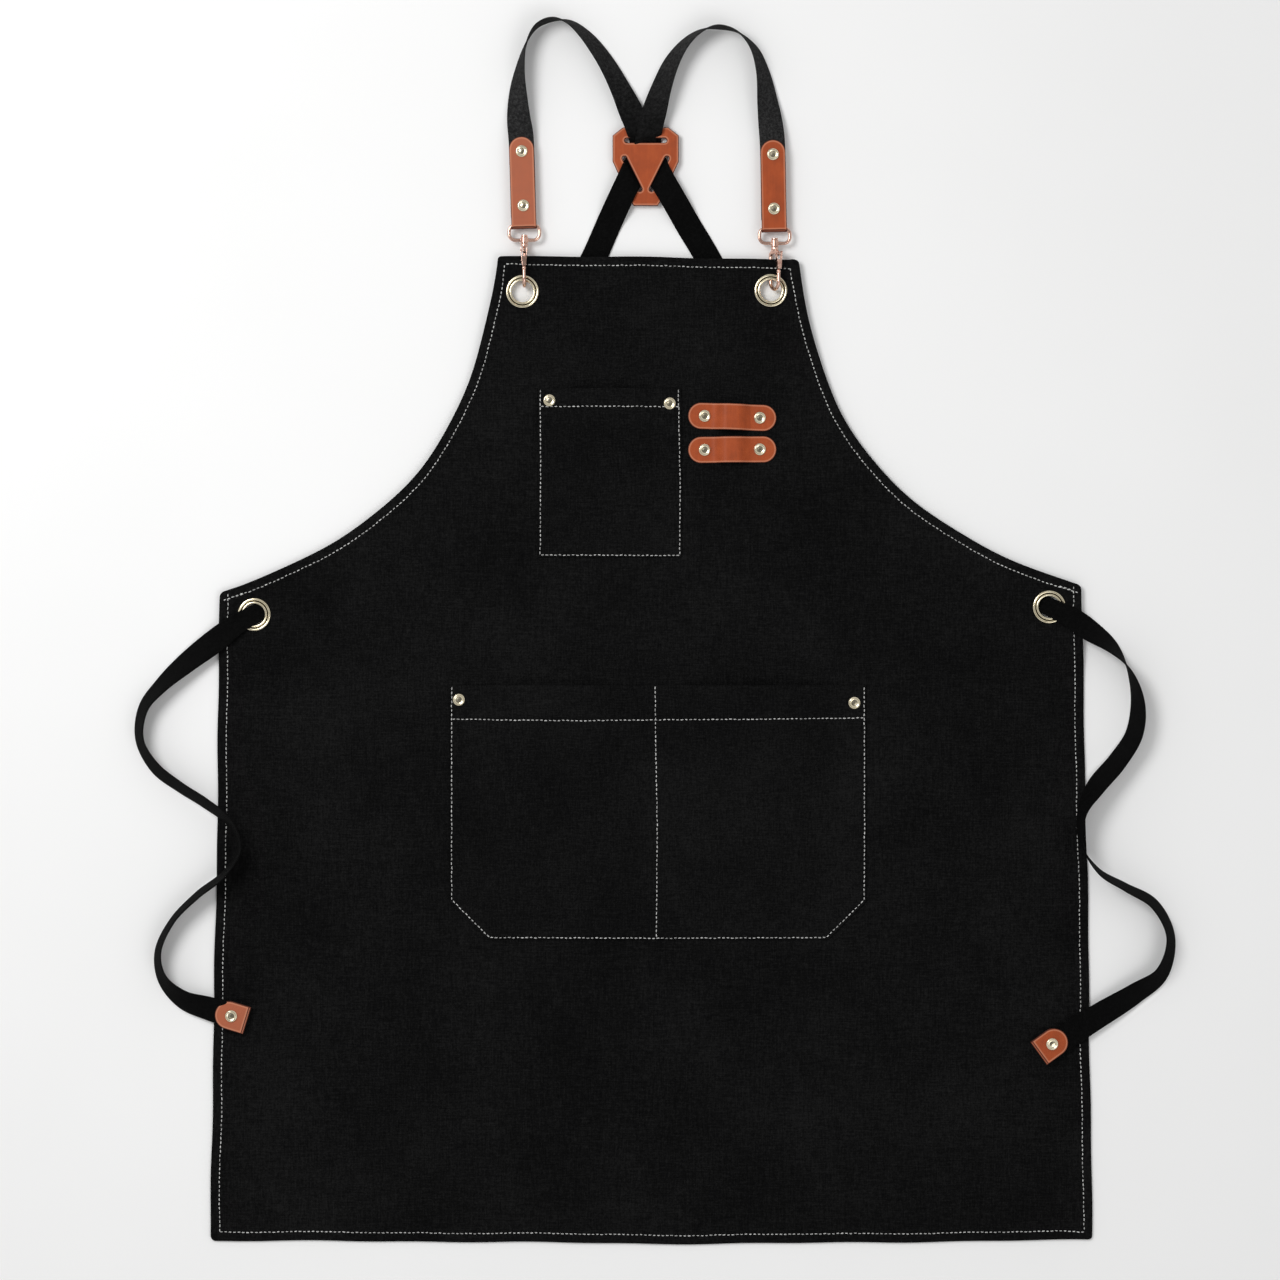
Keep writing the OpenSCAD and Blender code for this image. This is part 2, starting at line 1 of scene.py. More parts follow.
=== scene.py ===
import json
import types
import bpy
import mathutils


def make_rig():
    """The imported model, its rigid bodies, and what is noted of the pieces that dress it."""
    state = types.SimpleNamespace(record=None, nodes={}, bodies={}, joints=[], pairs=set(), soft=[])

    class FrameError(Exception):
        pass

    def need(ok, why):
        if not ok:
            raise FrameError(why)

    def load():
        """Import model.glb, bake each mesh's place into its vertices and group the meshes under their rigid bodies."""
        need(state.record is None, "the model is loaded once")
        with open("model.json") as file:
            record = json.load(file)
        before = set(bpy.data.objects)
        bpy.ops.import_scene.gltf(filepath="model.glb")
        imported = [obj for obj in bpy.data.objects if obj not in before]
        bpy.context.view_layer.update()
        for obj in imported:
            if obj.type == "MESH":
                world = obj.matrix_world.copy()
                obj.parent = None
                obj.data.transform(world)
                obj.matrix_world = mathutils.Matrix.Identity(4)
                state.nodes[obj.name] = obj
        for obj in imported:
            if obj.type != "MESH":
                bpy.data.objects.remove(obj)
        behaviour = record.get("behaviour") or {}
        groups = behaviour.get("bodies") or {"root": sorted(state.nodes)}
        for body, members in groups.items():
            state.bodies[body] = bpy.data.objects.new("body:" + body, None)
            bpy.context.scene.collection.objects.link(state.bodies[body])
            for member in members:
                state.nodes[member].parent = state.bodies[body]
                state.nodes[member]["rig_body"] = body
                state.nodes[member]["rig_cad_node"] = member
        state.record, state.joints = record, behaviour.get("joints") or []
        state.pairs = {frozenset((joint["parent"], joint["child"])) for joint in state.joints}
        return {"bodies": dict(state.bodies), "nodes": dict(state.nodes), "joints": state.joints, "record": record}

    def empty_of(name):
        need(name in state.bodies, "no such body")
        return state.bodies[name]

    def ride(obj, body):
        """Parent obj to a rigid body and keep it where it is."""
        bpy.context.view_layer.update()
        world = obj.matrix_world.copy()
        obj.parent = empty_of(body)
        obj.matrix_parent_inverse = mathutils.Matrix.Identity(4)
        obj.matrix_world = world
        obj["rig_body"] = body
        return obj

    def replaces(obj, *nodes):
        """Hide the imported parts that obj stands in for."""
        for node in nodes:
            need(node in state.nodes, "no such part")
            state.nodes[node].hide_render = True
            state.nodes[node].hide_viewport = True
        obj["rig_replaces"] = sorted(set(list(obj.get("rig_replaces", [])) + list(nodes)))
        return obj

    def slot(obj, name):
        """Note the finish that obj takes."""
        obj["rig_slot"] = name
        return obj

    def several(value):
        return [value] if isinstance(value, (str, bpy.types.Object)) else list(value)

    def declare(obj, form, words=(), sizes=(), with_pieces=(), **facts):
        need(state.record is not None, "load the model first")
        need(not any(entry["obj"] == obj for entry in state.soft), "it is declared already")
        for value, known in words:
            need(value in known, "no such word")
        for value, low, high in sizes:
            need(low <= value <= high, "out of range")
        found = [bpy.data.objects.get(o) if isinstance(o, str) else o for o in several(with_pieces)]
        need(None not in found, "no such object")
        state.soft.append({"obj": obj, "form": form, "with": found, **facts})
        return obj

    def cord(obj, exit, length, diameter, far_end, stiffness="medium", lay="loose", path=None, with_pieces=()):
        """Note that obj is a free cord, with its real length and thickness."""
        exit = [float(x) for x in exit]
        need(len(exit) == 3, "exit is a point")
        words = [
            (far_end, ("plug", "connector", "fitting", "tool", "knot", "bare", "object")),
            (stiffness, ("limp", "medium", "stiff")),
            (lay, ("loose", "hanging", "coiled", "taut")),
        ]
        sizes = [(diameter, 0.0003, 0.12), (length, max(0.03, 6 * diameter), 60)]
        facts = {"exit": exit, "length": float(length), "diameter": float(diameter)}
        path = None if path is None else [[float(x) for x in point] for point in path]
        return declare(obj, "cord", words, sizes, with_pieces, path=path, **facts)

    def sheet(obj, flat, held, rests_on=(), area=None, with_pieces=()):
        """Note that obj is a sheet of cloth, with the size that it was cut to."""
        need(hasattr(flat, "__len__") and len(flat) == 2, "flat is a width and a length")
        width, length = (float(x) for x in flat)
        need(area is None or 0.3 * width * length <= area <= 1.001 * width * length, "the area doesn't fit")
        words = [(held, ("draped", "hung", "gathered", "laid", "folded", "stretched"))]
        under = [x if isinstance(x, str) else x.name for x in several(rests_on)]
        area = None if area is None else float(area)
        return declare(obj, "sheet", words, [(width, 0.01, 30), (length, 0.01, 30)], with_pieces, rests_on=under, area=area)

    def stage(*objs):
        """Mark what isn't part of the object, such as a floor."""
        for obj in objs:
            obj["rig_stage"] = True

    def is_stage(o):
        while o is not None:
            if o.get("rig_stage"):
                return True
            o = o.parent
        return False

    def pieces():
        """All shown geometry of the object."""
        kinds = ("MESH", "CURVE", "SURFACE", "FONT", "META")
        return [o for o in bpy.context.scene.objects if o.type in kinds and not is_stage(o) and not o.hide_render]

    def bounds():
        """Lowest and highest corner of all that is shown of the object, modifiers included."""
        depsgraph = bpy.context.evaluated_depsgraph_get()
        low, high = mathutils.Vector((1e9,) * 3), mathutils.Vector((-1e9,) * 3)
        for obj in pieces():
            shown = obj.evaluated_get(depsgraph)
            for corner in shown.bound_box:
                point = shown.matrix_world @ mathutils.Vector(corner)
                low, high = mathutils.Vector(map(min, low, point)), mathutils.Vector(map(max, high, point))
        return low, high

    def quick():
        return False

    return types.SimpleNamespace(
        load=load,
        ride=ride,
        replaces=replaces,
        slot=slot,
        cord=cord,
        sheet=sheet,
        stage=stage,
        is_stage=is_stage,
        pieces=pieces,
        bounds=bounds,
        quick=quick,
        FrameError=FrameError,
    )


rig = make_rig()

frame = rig.load()

import json
import math
import random

import bmesh
import bpy
import numpy as np
from mathutils import Matrix, Vector
from mathutils.bvhtree import BVHTree
from mathutils.geometry import delaunay_2d_cdt
from mathutils.kdtree import KDTree

cad_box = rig.bounds()
MM = 0.001
rng = random.Random(7)

# ---------------------------------------------------------------- camera, floor and light

LOOK_AT = (-9.5 * MM, 86.8 * MM)
VIEW_W = 1.0148
CAMERA_H = 3.2
SENSOR = 36


def make_camera():
    data = bpy.data.cameras.new("camera")
    data.sensor_width = SENSOR
    data.lens = SENSOR * CAMERA_H / VIEW_W
    data.clip_end = 20
    cam = bpy.data.objects.new("camera", data)
    cam.location = (LOOK_AT[0], LOOK_AT[1], CAMERA_H)
    bpy.context.scene.collection.objects.link(cam)
    bpy.context.scene.camera = cam


def area_light(name, place, target, size, power, colour=(1, 1, 1)):
    data = bpy.data.lights.new(name, "AREA")
    data.shape = "DISK"
    data.size = size
    data.energy = power
    data.color = colour
    lamp = bpy.data.objects.new(name, data)
    lamp.location = place
    lamp.rotation_euler = (Vector(target) - Vector(place)).to_track_quat("-Z", "Y").to_euler()
    bpy.context.scene.collection.objects.link(lamp)


def make_light():
    bpy.context.scene.view_settings.view_transform = "Standard"
    world = bpy.data.worlds.new("studio")
    bpy.context.scene.world = world
    world.use_nodes = True
    tree = world.node_tree
    back = tree.nodes["Background"]
    back.inputs["Strength"].default_value = 0.6
    # A white tent with a dark opening straight above, where the camera looks in
    axes = tree.nodes.new("ShaderNodeSeparateXYZ")
    tree.links.new(tree.nodes.new("ShaderNodeTexCoord").outputs["Generated"], axes.inputs[0])
    tent = tree.nodes.new("ShaderNodeValToRGB")
    tent.color_ramp.elements[0].position = 0.9
    tent.color_ramp.elements[0].color = (1, 1, 1, 1)
    tent.color_ramp.elements[1].position = 0.965
    tent.color_ramp.elements[1].color = (0.13, 0.13, 0.13, 1)
    tree.links.new(axes.outputs["Z"], tent.inputs["Fac"])
    tree.links.new(tent.outputs["Color"], back.inputs["Color"])
    area_light("key", (-0.95, 0.85, 1.75), (0, 0.05, 0), 0.95, 23)
    area_light("fill", (1.2, -1.0, 2.4), (0, 0, 0), 1.6, 11)


def link(obj):
    bpy.context.scene.collection.objects.link(obj)
    return obj


def mesh_piece(name, verts, faces, material, smooth=True, sharp=None):
    mesh = bpy.data.meshes.new(name)
    mesh.from_pydata([tuple(v) for v in verts], [], [tuple(f) for f in faces])
    mesh.validate()
    for poly in mesh.polygons:
        poly.use_smooth = smooth
    if sharp is not None:
        mesh.set_sharp_from_angle(angle=math.radians(sharp))
    mesh.materials.append(material)
    mesh.update()
    return link(bpy.data.objects.new(name, mesh))


def dress(piece, body, slot, *nodes):
    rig.ride(piece, body)
    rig.slot(piece, slot)
    if nodes:
        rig.replaces(piece, *nodes)
    return piece


# ---------------------------------------------------------------- materials


class Shader:
    """A small helper that builds one procedural material."""

    def __init__(self, name, rough, metal=0.0, sheen=0.0, coat=0.0):
        self.mat = bpy.data.materials.new(name)
        self.mat.use_nodes = True
        self.tree = self.mat.node_tree
        self.bsdf = self.tree.nodes["Principled BSDF"]
        self.bsdf.inputs["Roughness"].default_value = rough
        self.bsdf.inputs["Metallic"].default_value = metal
        self.bsdf.inputs["Sheen Weight"].default_value = sheen
        self.bsdf.inputs["Sheen Roughness"].default_value = 0.5
        self.bsdf.inputs["Coat Weight"].default_value = coat
        self.bsdf.inputs["Coat Roughness"].default_value = 0.3

    def node(self, kind, **inputs):
        made = self.tree.nodes.new(kind)
        for key, value in inputs.items():
            self.feed(made, key.replace("_", " "), value)
        return made

    def feed(self, node, key, value):
        socket = node.inputs[int(key)] if key.isdigit() else node.inputs[key]
        if isinstance(value, bpy.types.NodeSocket):
            self.tree.links.new(value, socket)
        else:
            socket.default_value = value

    def math(self, operation, a, b=0.0, c=0.0):
        made = self.tree.nodes.new("ShaderNodeMath")
        made.operation = operation
        for i, value in enumerate((a, b, c)):
            self.feed(made, str(i), value)
        return made.outputs[0]

    def place(self, uv=False):
        return self.tree.nodes.new("ShaderNodeTexCoord").outputs["UV" if uv else "Object"]

    def split(self, vector):
        return self.node("ShaderNodeSeparateXYZ", Vector=vector).outputs

    def noise(self, vector, scale, detail=3.0, rough=0.55):
        made = self.node("ShaderNodeTexNoise", Vector=vector, Scale=scale, Detail=detail, Roughness=rough)
        return made.outputs["Fac"]

    def stretched(self, vector, factors):
        made = self.node("ShaderNodeVectorMath", **{"0": vector, "1": factors})
        made.operation = "MULTIPLY"
        return made.outputs[0]

    def ramp(self, fac, stops):
        made = self.node("ShaderNodeValToRGB", Fac=fac)
        points = made.color_ramp.elements
        for i, (at, colour) in enumerate(stops):
            point = points[i] if i < 2 else points.new(at)
            point.position = at
            point.color = (*colour, 1)
        return made.outputs["Color"]

    def mix(self, fac, a, b):
        made = self.tree.nodes.new("ShaderNodeMix")
        made.data_type = "RGBA"
        for key, value in ((0, fac), (6, a), (7, b)):
            self.feed(made, str(key), (*value, 1) if isinstance(value, tuple) and len(value) == 3 else value)
        return made.outputs[2]

    def bump(self, height, strength, distance, normal=None):
        made = self.node("ShaderNodeBump", Height=height, Strength=strength, Distance=distance)
        if normal is not None:
            self.feed(made, "Normal", normal)
        return made.outputs["Normal"]

    def finish(self, colour, rough=None, normal=None):
        self.feed(self.bsdf, "Base Color", colour)
        if rough is not None:
            self.feed(self.bsdf, "Roughness", rough)
        if normal is not None:
            self.feed(self.bsdf, "Normal", normal)
        return self.mat


def canvas_material():
    """Washed black cotton canvas: a plain weave with slubs, pale flecks and slow tone changes."""
    s = Shader("canvas", 0.95)
    s.bsdf.inputs["Specular IOR Level"].default_value = 0.05
    at = s.place()
    x, y, _ = s.split(at)
    wobble = s.math("MULTIPLY", s.noise(at, 260, 2), 0.0006)
    pitch = 2 * math.pi / (0.62 * MM)
    warp = s.math("SINE", s.math("MULTIPLY", s.math("ADD", x, wobble), pitch))
    weft = s.math("SINE", s.math("MULTIPLY", s.math("ADD", y, wobble), pitch * 0.93))
    weave = s.math("MULTIPLY", warp, weft)
    slub_x = s.noise(s.stretched(at, (1400, 90, 400)), 1, 2)
    slub_y = s.noise(s.stretched(at, (90, 1400, 400)), 1, 2)
    slubs = s.math("ADD", slub_x, slub_y)
    flecks = s.noise(at, 620, 4, 0.75)
    patches = s.noise(at, 9, 4, 0.6)
    tone = s.math("ADD", s.math("MULTIPLY", flecks, 0.45), s.math("MULTIPLY", slubs, 0.22))
    tone = s.math("ADD", tone, s.math("MULTIPLY", patches, 0.22))
    tone = s.math("ADD", tone, s.math("MULTIPLY", weave, 0.05))
    colour = s.ramp(tone, [(0.38, (0.0009, 0.0009, 0.001)), (0.53, (0.0034, 0.0034, 0.0035)),
                           (0.68, (0.0112, 0.0112, 0.0112))])
    height = s.math("ADD", s.math("MULTIPLY", weave, 0.5), s.math("MULTIPLY", slubs, 0.8))
    height = s.math("ADD", height, s.math("MULTIPLY", flecks, 0.8))
    return s.finish(colour, normal=s.bump(height, 0.55, 0.00022))


def webbing_material():
    """Herringbone webbing: u runs along the strap in metres, v across it from 0 to 1."""
    s = Shader("webbing", 0.9)
    s.bsdf.inputs["Specular IOR Level"].default_value = 0.07
    u, v, _ = s.split(s.place(uv=True))
    at = s.place()
    fold = s.math("PINGPONG", s.math("MULTIPLY", v, 4.0), 0.5)
    slant = s.math("ADD", s.math("MULTIPLY", u, 1 / (1.5 * MM)), s.math("MULTIPLY", fold, 6.0))
    ribs = s.math("SINE", s.math("MULTIPLY", slant, 2 * math.pi))
    cords = s.math("SINE", s.math("MULTIPLY", v, 2 * math.pi * 24))
    fuzz = s.noise(at, 460, 4, 0.8)
    tone = s.math("ADD", s.math("MULTIPLY", ribs, 0.12), s.math("MULTIPLY", cords, 0.05))
    tone = s.math("ADD", s.math("ADD", tone, -0.13), s.math("MULTIPLY", fuzz, 1.25))
    tone = s.math("ADD", tone, s.math("MULTIPLY", s.noise(at, 30, 2), 0.12))
    # Painted light: a lighter copy of the webbing for the upper loops, where the key light falls.
    worn_and_lit = s.ramp(tone, [(0.3, (0.0043, 0.0043, 0.0044)), (0.55, (0.018, 0.018, 0.0182)),
                         (0.8, (0.054, 0.054, 0.054))])
    # Painted shade: a much darker copy of the same webbing for the ties.
    dark = s.ramp(tone, [(0.3, (0.0005, 0.0005, 0.0005)), (0.55, (0.0015, 0.0015, 0.0015)),
                         (0.8, (0.0046, 0.0046, 0.0046))])
    # Painted light share: 1 over the first 0.2 m of each strap, falling to 0 by 0.3 m, where the painted shade takes
    # over.
    painted_light_share = s.node("ShaderNodeMapRange", **{"0": u, "1": 0.2, "2": 0.3, "3": 1.0, "4": 0.0}).outputs[0]
    colour = s.mix(painted_light_share, dark, worn_and_lit)
    height = s.math("ADD", s.math("MULTIPLY", ribs, 0.7), s.math("MULTIPLY", cords, 0.5))
    height = s.math("ADD", height, s.math("MULTIPLY", fuzz, 0.7))
    return s.finish(colour, normal=s.bump(height, 0.7, 0.00028))


def leather_material(name, pale):
    """Tan cowhide: fine pebble grain, soft blotches, darker burnished edges and a painted highlight along the bevel
    just inside them. The second argument, from 0 to 1, mixes the face toward a pale dull tan that is painted sheen.
    """
    s = Shader(name, 0.5, coat=0.02)
    s.bsdf.inputs["Specular IOR Level"].default_value = 0.28
    at = s.place()
    grain = s.node("ShaderNodeTexVoronoi", Vector=at, Scale=1500.0)
    grain.feature = "SMOOTH_F1"
    pebbles = grain.outputs["Distance"]
    pores = s.noise(at, 2600, 3, 0.6)
    blotch = s.noise(at, 85, 4, 0.6)
    streak = s.noise(s.stretched(at, (500, 60, 200)), 1, 3)
    tone = s.math("ADD", s.math("MULTIPLY", blotch, 0.6), s.math("MULTIPLY", streak, 0.3))
    tone = s.math("ADD", tone, s.math("MULTIPLY", pores, 0.12))
    tan = s.ramp(tone, [(0.3, (0.25, 0.04, 0.005)), (0.52, (0.335, 0.054, 0.007)),
                        (0.75, (0.41, 0.074, 0.012))])
    # Painted sheen: the face is mixed toward a pale, dull tan in place of the key light's gloss.
    face = s.mix(pale, tan, (0.41, 0.148, 0.085))
    mark = s.tree.nodes.new("ShaderNodeAttribute")
    mark.attribute_name = "edge"
    inset = s.math("MULTIPLY", mark.outputs["Fac"], 1 / (2.6 * MM))
    # Painted highlight: a light tan band about 0.4 to 1.9 mm in from the cut edge, where the bevel would catch the
    # light.
    rim = s.ramp(inset, [(0.15, (0, 0, 0)), (0.3, (0.6, 0.6, 0.6)), (0.48, (0.42, 0.42, 0.42)),
                         (0.72, (0, 0, 0))])
    edge = s.ramp(inset, [(0.1, (0.9, 0.9, 0.9)), (0.27, (0, 0, 0))])
    colour = s.mix(edge, s.mix(rim, face, (0.6, 0.26, 0.15)), (0.06, 0.014, 0.007))
    rough = s.math("ADD", 0.47, s.math("MULTIPLY", blotch, 0.16))
    height = s.math("ADD", s.math("MULTIPLY", pebbles, 0.8), s.math("MULTIPLY", pores, 0.5))
    return s.finish(colour, rough, s.bump(height, 0.28, 0.00012))


def plated_material(name, light, dark, rough):
    """Polished plate with faint tarnish and hairline scratches, and painted shade on vertices marked groove."""
    s = Shader(name, rough, metal=1.0)
    at = s.place()
    tarnish = s.noise(at, 240, 4, 0.6)
    hair = s.noise(s.stretched(at, (6000, 400, 900)), 1, 2)
    groove = s.tree.nodes.new("ShaderNodeAttribute")
    groove.attribute_name = "groove"
    # Painted shade: where the groove attribute is 1, the plate is painted near black.
    colour = s.mix(groove.outputs["Fac"], s.ramp(tarnish, [(0.3, dark), (0.6, light)]), (0.05, 0.04, 0.025))
    worn_and_lit = s.math("ADD", rough, s.math("MULTIPLY", hair, 0.1))
    return s.finish(colour, worn_and_lit, s.bump(s.math("ADD", hair, tarnish), 0.06, 0.00005))


def thread_material():
    """Twisted polyester top-stitching thread."""
    s = Shader("thread", 0.6, sheen=0.2)
    at = s.place()
    x, y, _ = s.split(at)
    twist = s.math("SINE", s.math("MULTIPLY", s.math("ADD", x, y), 2 * math.pi / (0.42 * MM)))
    tone = s.math("ADD", s.math("MULTIPLY", twist, 0.16), s.noise(at, 130, 3))
    colour = s.ramp(tone, [(0.3, (0.2, 0.2, 0.195)), (0.5, (0.5, 0.5, 0.485)), (0.7, (0.8, 0.8, 0.78))])
    return s.finish(colour, normal=s.bump(twist, 0.5, 0.0001))


def floor_material():
    s = Shader("floor", 0.9)
    at = s.place()
    colour = s.ramp(s.noise(at, 3, 3), [(0.3, (0.86, 0.86, 0.857)), (0.7, (0.88, 0.88, 0.878))])
    return s.finish(colour)


make_camera()
make_light()
CANVAS = canvas_material()
WEBBING = webbing_material()
LEATHER = leather_material("leather", 0.04)
# The same leather with painted sheen, for the left tab and the left end tab.
PAINTED_SHEEN_LEATHER = leather_material("painted_sheen_leather", 0.5)
PALE_GOLD = plated_material("pale_gold", (0.92, 0.83, 0.62), (0.78, 0.69, 0.48), 0.15)
ROSE_GOLD = plated_material("rose_gold", (0.86, 0.57, 0.46), (0.56, 0.32, 0.25), 0.15)
SPRING = plated_material("spring_steel", (0.62, 0.62, 0.64), (0.45, 0.45, 0.47), 0.25)
THREAD = thread_material()

# ---------------------------------------------------------------- the straps, which are the cords

WEB_T = 1.4
FULL = 10
TABLE_GAP = 0.2
# Each point: x, y, z in millimetres, roll in degrees, half the width, skew in degrees
LEFT_ROUTE = [
    (-101.6, 421, 7.5, 0, FULL, 0), (-103.6, 484, 7.5, 0, FULL, 0), (-105.4, 499, 7.9, 20, FULL, 0),
    (-106, 513, 8.7, 38, FULL, 0), (-105, 534, 10.1, 62, FULL, 0), (-100.4, 556, 10.5, 82, FULL, 0),
    (-91.6, 571.6, 10.7, 92, FULL, 0), (-79, 577.2, 10.7, 91, FULL, 0), (-66, 575.4, 10.2, 73, FULL, 0),
    (-53, 565.4, 9.8, 60, FULL, 0), (-37, 544.6, 9.4, 48, FULL, 0), (-23.6, 520, 8.6, 32, FULL, 0),
    (-13, 497, 7.2, 6, FULL, -20), (-8.6, 485.6, 6.9, 0, FULL, -27), (-6, 479, 2.3, 0, FULL, -27),
    (4.2, 459.2, 2.3, 0, FULL, 33), (7.4, 452.2, 7, 0, FULL, 33), (19, 432, 6.6, 0, FULL, 0),
    (29, 415, 1.4, 0, FULL, 0), (44, 390, 0.9, 0, FULL, 0), (80, 322, 0.9, 0, FULL, 0),
    (122, 254, 0.9, 0, FULL, 0), (176, 193, 0.9, 0, FULL, 0), (240, 149, 0.9, 0, FULL, 0),
    (300, 120, 0.9, 0, 8.4, 0), (314.5, 113, 3.8, 0, 7.4, 0), (328, 106.5, 6.9, 0, 8.2, 0),
    (347, 94, 6.2, 30, FULL, 0), (365, 80, 9.2, 57, FULL, 0), (377.5, 62, 10.8, 93, FULL, 0),
    (384, 37, 10.2, 116, FULL, 0), (381, 12, 9.4, 128, FULL, 0), (368, -9, 8.9, 134, FULL, 0),
    (350.5, -29.5, 11.5, 132, FULL, 0), (339.5, -50, 13.7, 106, FULL, 0), (339, -74, 13.5, 90, FULL, 0),
    (353, -96, 13.2, 79, FULL, 0), (374, -108.5, 11.1, 72, FULL, 0), (397, -122, 9.8, 67, FULL, 0),
    (410, -148, 9.6, 63, FULL, 0), (403, -177, 8.5, 49, FULL, 0), (382, -193, 6.6, 28, FULL, 0),
    (352, -211.5, 5.6, 8, FULL, 0), (330, -226, 5, 0, FULL, 0), (308, -239.5, 5, 0, FULL, 0),
]
RIGHT_ROUTE = [
    (96.4, 419, 7.5, 0, FULL, 0), (95.2, 480, 7.5, 0, FULL, 0), (93.8, 495, 7.7, -12, FULL, 0),
    (91.6, 511, 8.4, -30, FULL, 0), (87.6, 536, 9.8, -56, FULL, 0), (80.6, 554.6, 10.1, -70, FULL, 0),
    (67.6, 567.4, 10.5, -84, FULL, 0), (52, 571.2, 10.7, -92, FULL, 0), (40, 568.8, 10.4, -79, FULL, 0),
    (28, 560.6, 9.8, -66, FULL, 0), (16.4, 545, 9.3, -50, FULL, 0), (7, 522, 9.2, -34, FULL, 0),
    (0, 498, 8.6, -4, FULL, 20), (-2.6, 485.8, 8.4, 0, FULL, 27), (-4.4, 478.6, 0.9, 0, FULL, 27),
    (-14.2, 459.4, 0.9, 0, FULL, -33), (-17.4, 452.2, 7, 0, FULL, -33), (-26, 434, 6.6, 0, FULL, 0),
    (-34, 417, 1.4, 0, FULL, 0), (-46, 390, 0.9, 0, FULL, 0), (-82, 322, 0.9, 0, FULL, 0),
    (-124, 254, 0.9, 0, FULL, 0), (-178, 192, 0.9, 0, FULL, 0), (-242, 147, 0.9, 0, FULL, 0),
    (-300, 115, 0.9, 0, 8.4, 0), (-315, 107, 3.8, 0, 7.4, 0), (-329, 99, 6.9, 0, 8.2, 0),
    (-348, 84.5, 6, -16, FULL, 0), (-368, 69, 6.6, -33, FULL, 0), (-388, 51, 8.1, -51, FULL, 0),
    (-402, 33, 9.4, -61, FULL, 0), (-405, 8, 9.7, -64, FULL, 0), (-393, -14, 9.5, -59, FULL, 0),
    (-373, -29.5, 10, -62, FULL, 0), (-353, -42, 11.9, -63, FULL, 0), (-333, -58, 12.7, -70, FULL, 0),
    (-326, -78, 12.8, -76, FULL, 0), (-338, -98, 12.7, -76, FULL, 0), (-359.5, -115, 10.7, -73, FULL, 0),
    (-379, -135, 10.2, -75, FULL, 0), (-390.5, -160, 10, -70, FULL, 0), (-387, -181, 9.4, -60, FULL, 0),
    (-371, -197.5, 7.4, -38, FULL, 0), (-350, -205, 6, -14, FULL, 0), (-324, -213, 5, 0, FULL, 0),
]


def spline(points, step):
    """A smooth curve through the points, with every value carried along, at about one sample a step."""
    pts = np.array(points, float)
    pts = np.vstack([2 * pts[0] - pts[1], pts, 2 * pts[-1] - pts[-2]])
    gaps = np.maximum(np.linalg.norm(np.diff(pts[:, :3], axis=0), axis=1), 1e-6) ** 0.5
    out = []
    for i in range(1, len(pts) - 2):
        t0 = 0.0
        t1 = t0 + gaps[i - 1]
        t2 = t1 + gaps[i]
        t3 = t2 + gaps[i + 1]
        n = max(2, int(round(gaps[i] ** 2 / step)))
        for k in range(n):
            t = t1 + (t2 - t1) * k / n
            a1 = (t1 - t) / (t1 - t0) * pts[i - 1] + (t - t0) / (t1 - t0) * pts[i]
            a2 = (t2 - t) / (t2 - t1) * pts[i] + (t - t1) / (t2 - t1) * pts[i + 1]
            a3 = (t3 - t) / (t3 - t2) * pts[i + 1] + (t - t2) / (t3 - t2) * pts[i + 2]
            b1 = (t2 - t) / (t2 - t0) * a1 + (t - t0) / (t2 - t0) * a2
            b2 = (t3 - t) / (t3 - t1) * a2 + (t - t1) / (t3 - t1) * a3
            out.append((t2 - t) / (t2 - t1) * b1 + (t - t1) / (t2 - t1) * b2)
    out.append(pts[-2])
    return np.array(out)


def smooth_step(x, a, b):
    t = np.clip((np.asarray(x, float) - a) / (b - a), 0, 1)
    return t * t * (3 - 2 * t)


ACROSS = [-1, -0.985, -0.94, -0.86, -0.7, -0.5, -0.25, 0, 0.25, 0.5, 0.7, 0.86, 0.94, 0.985, 1]


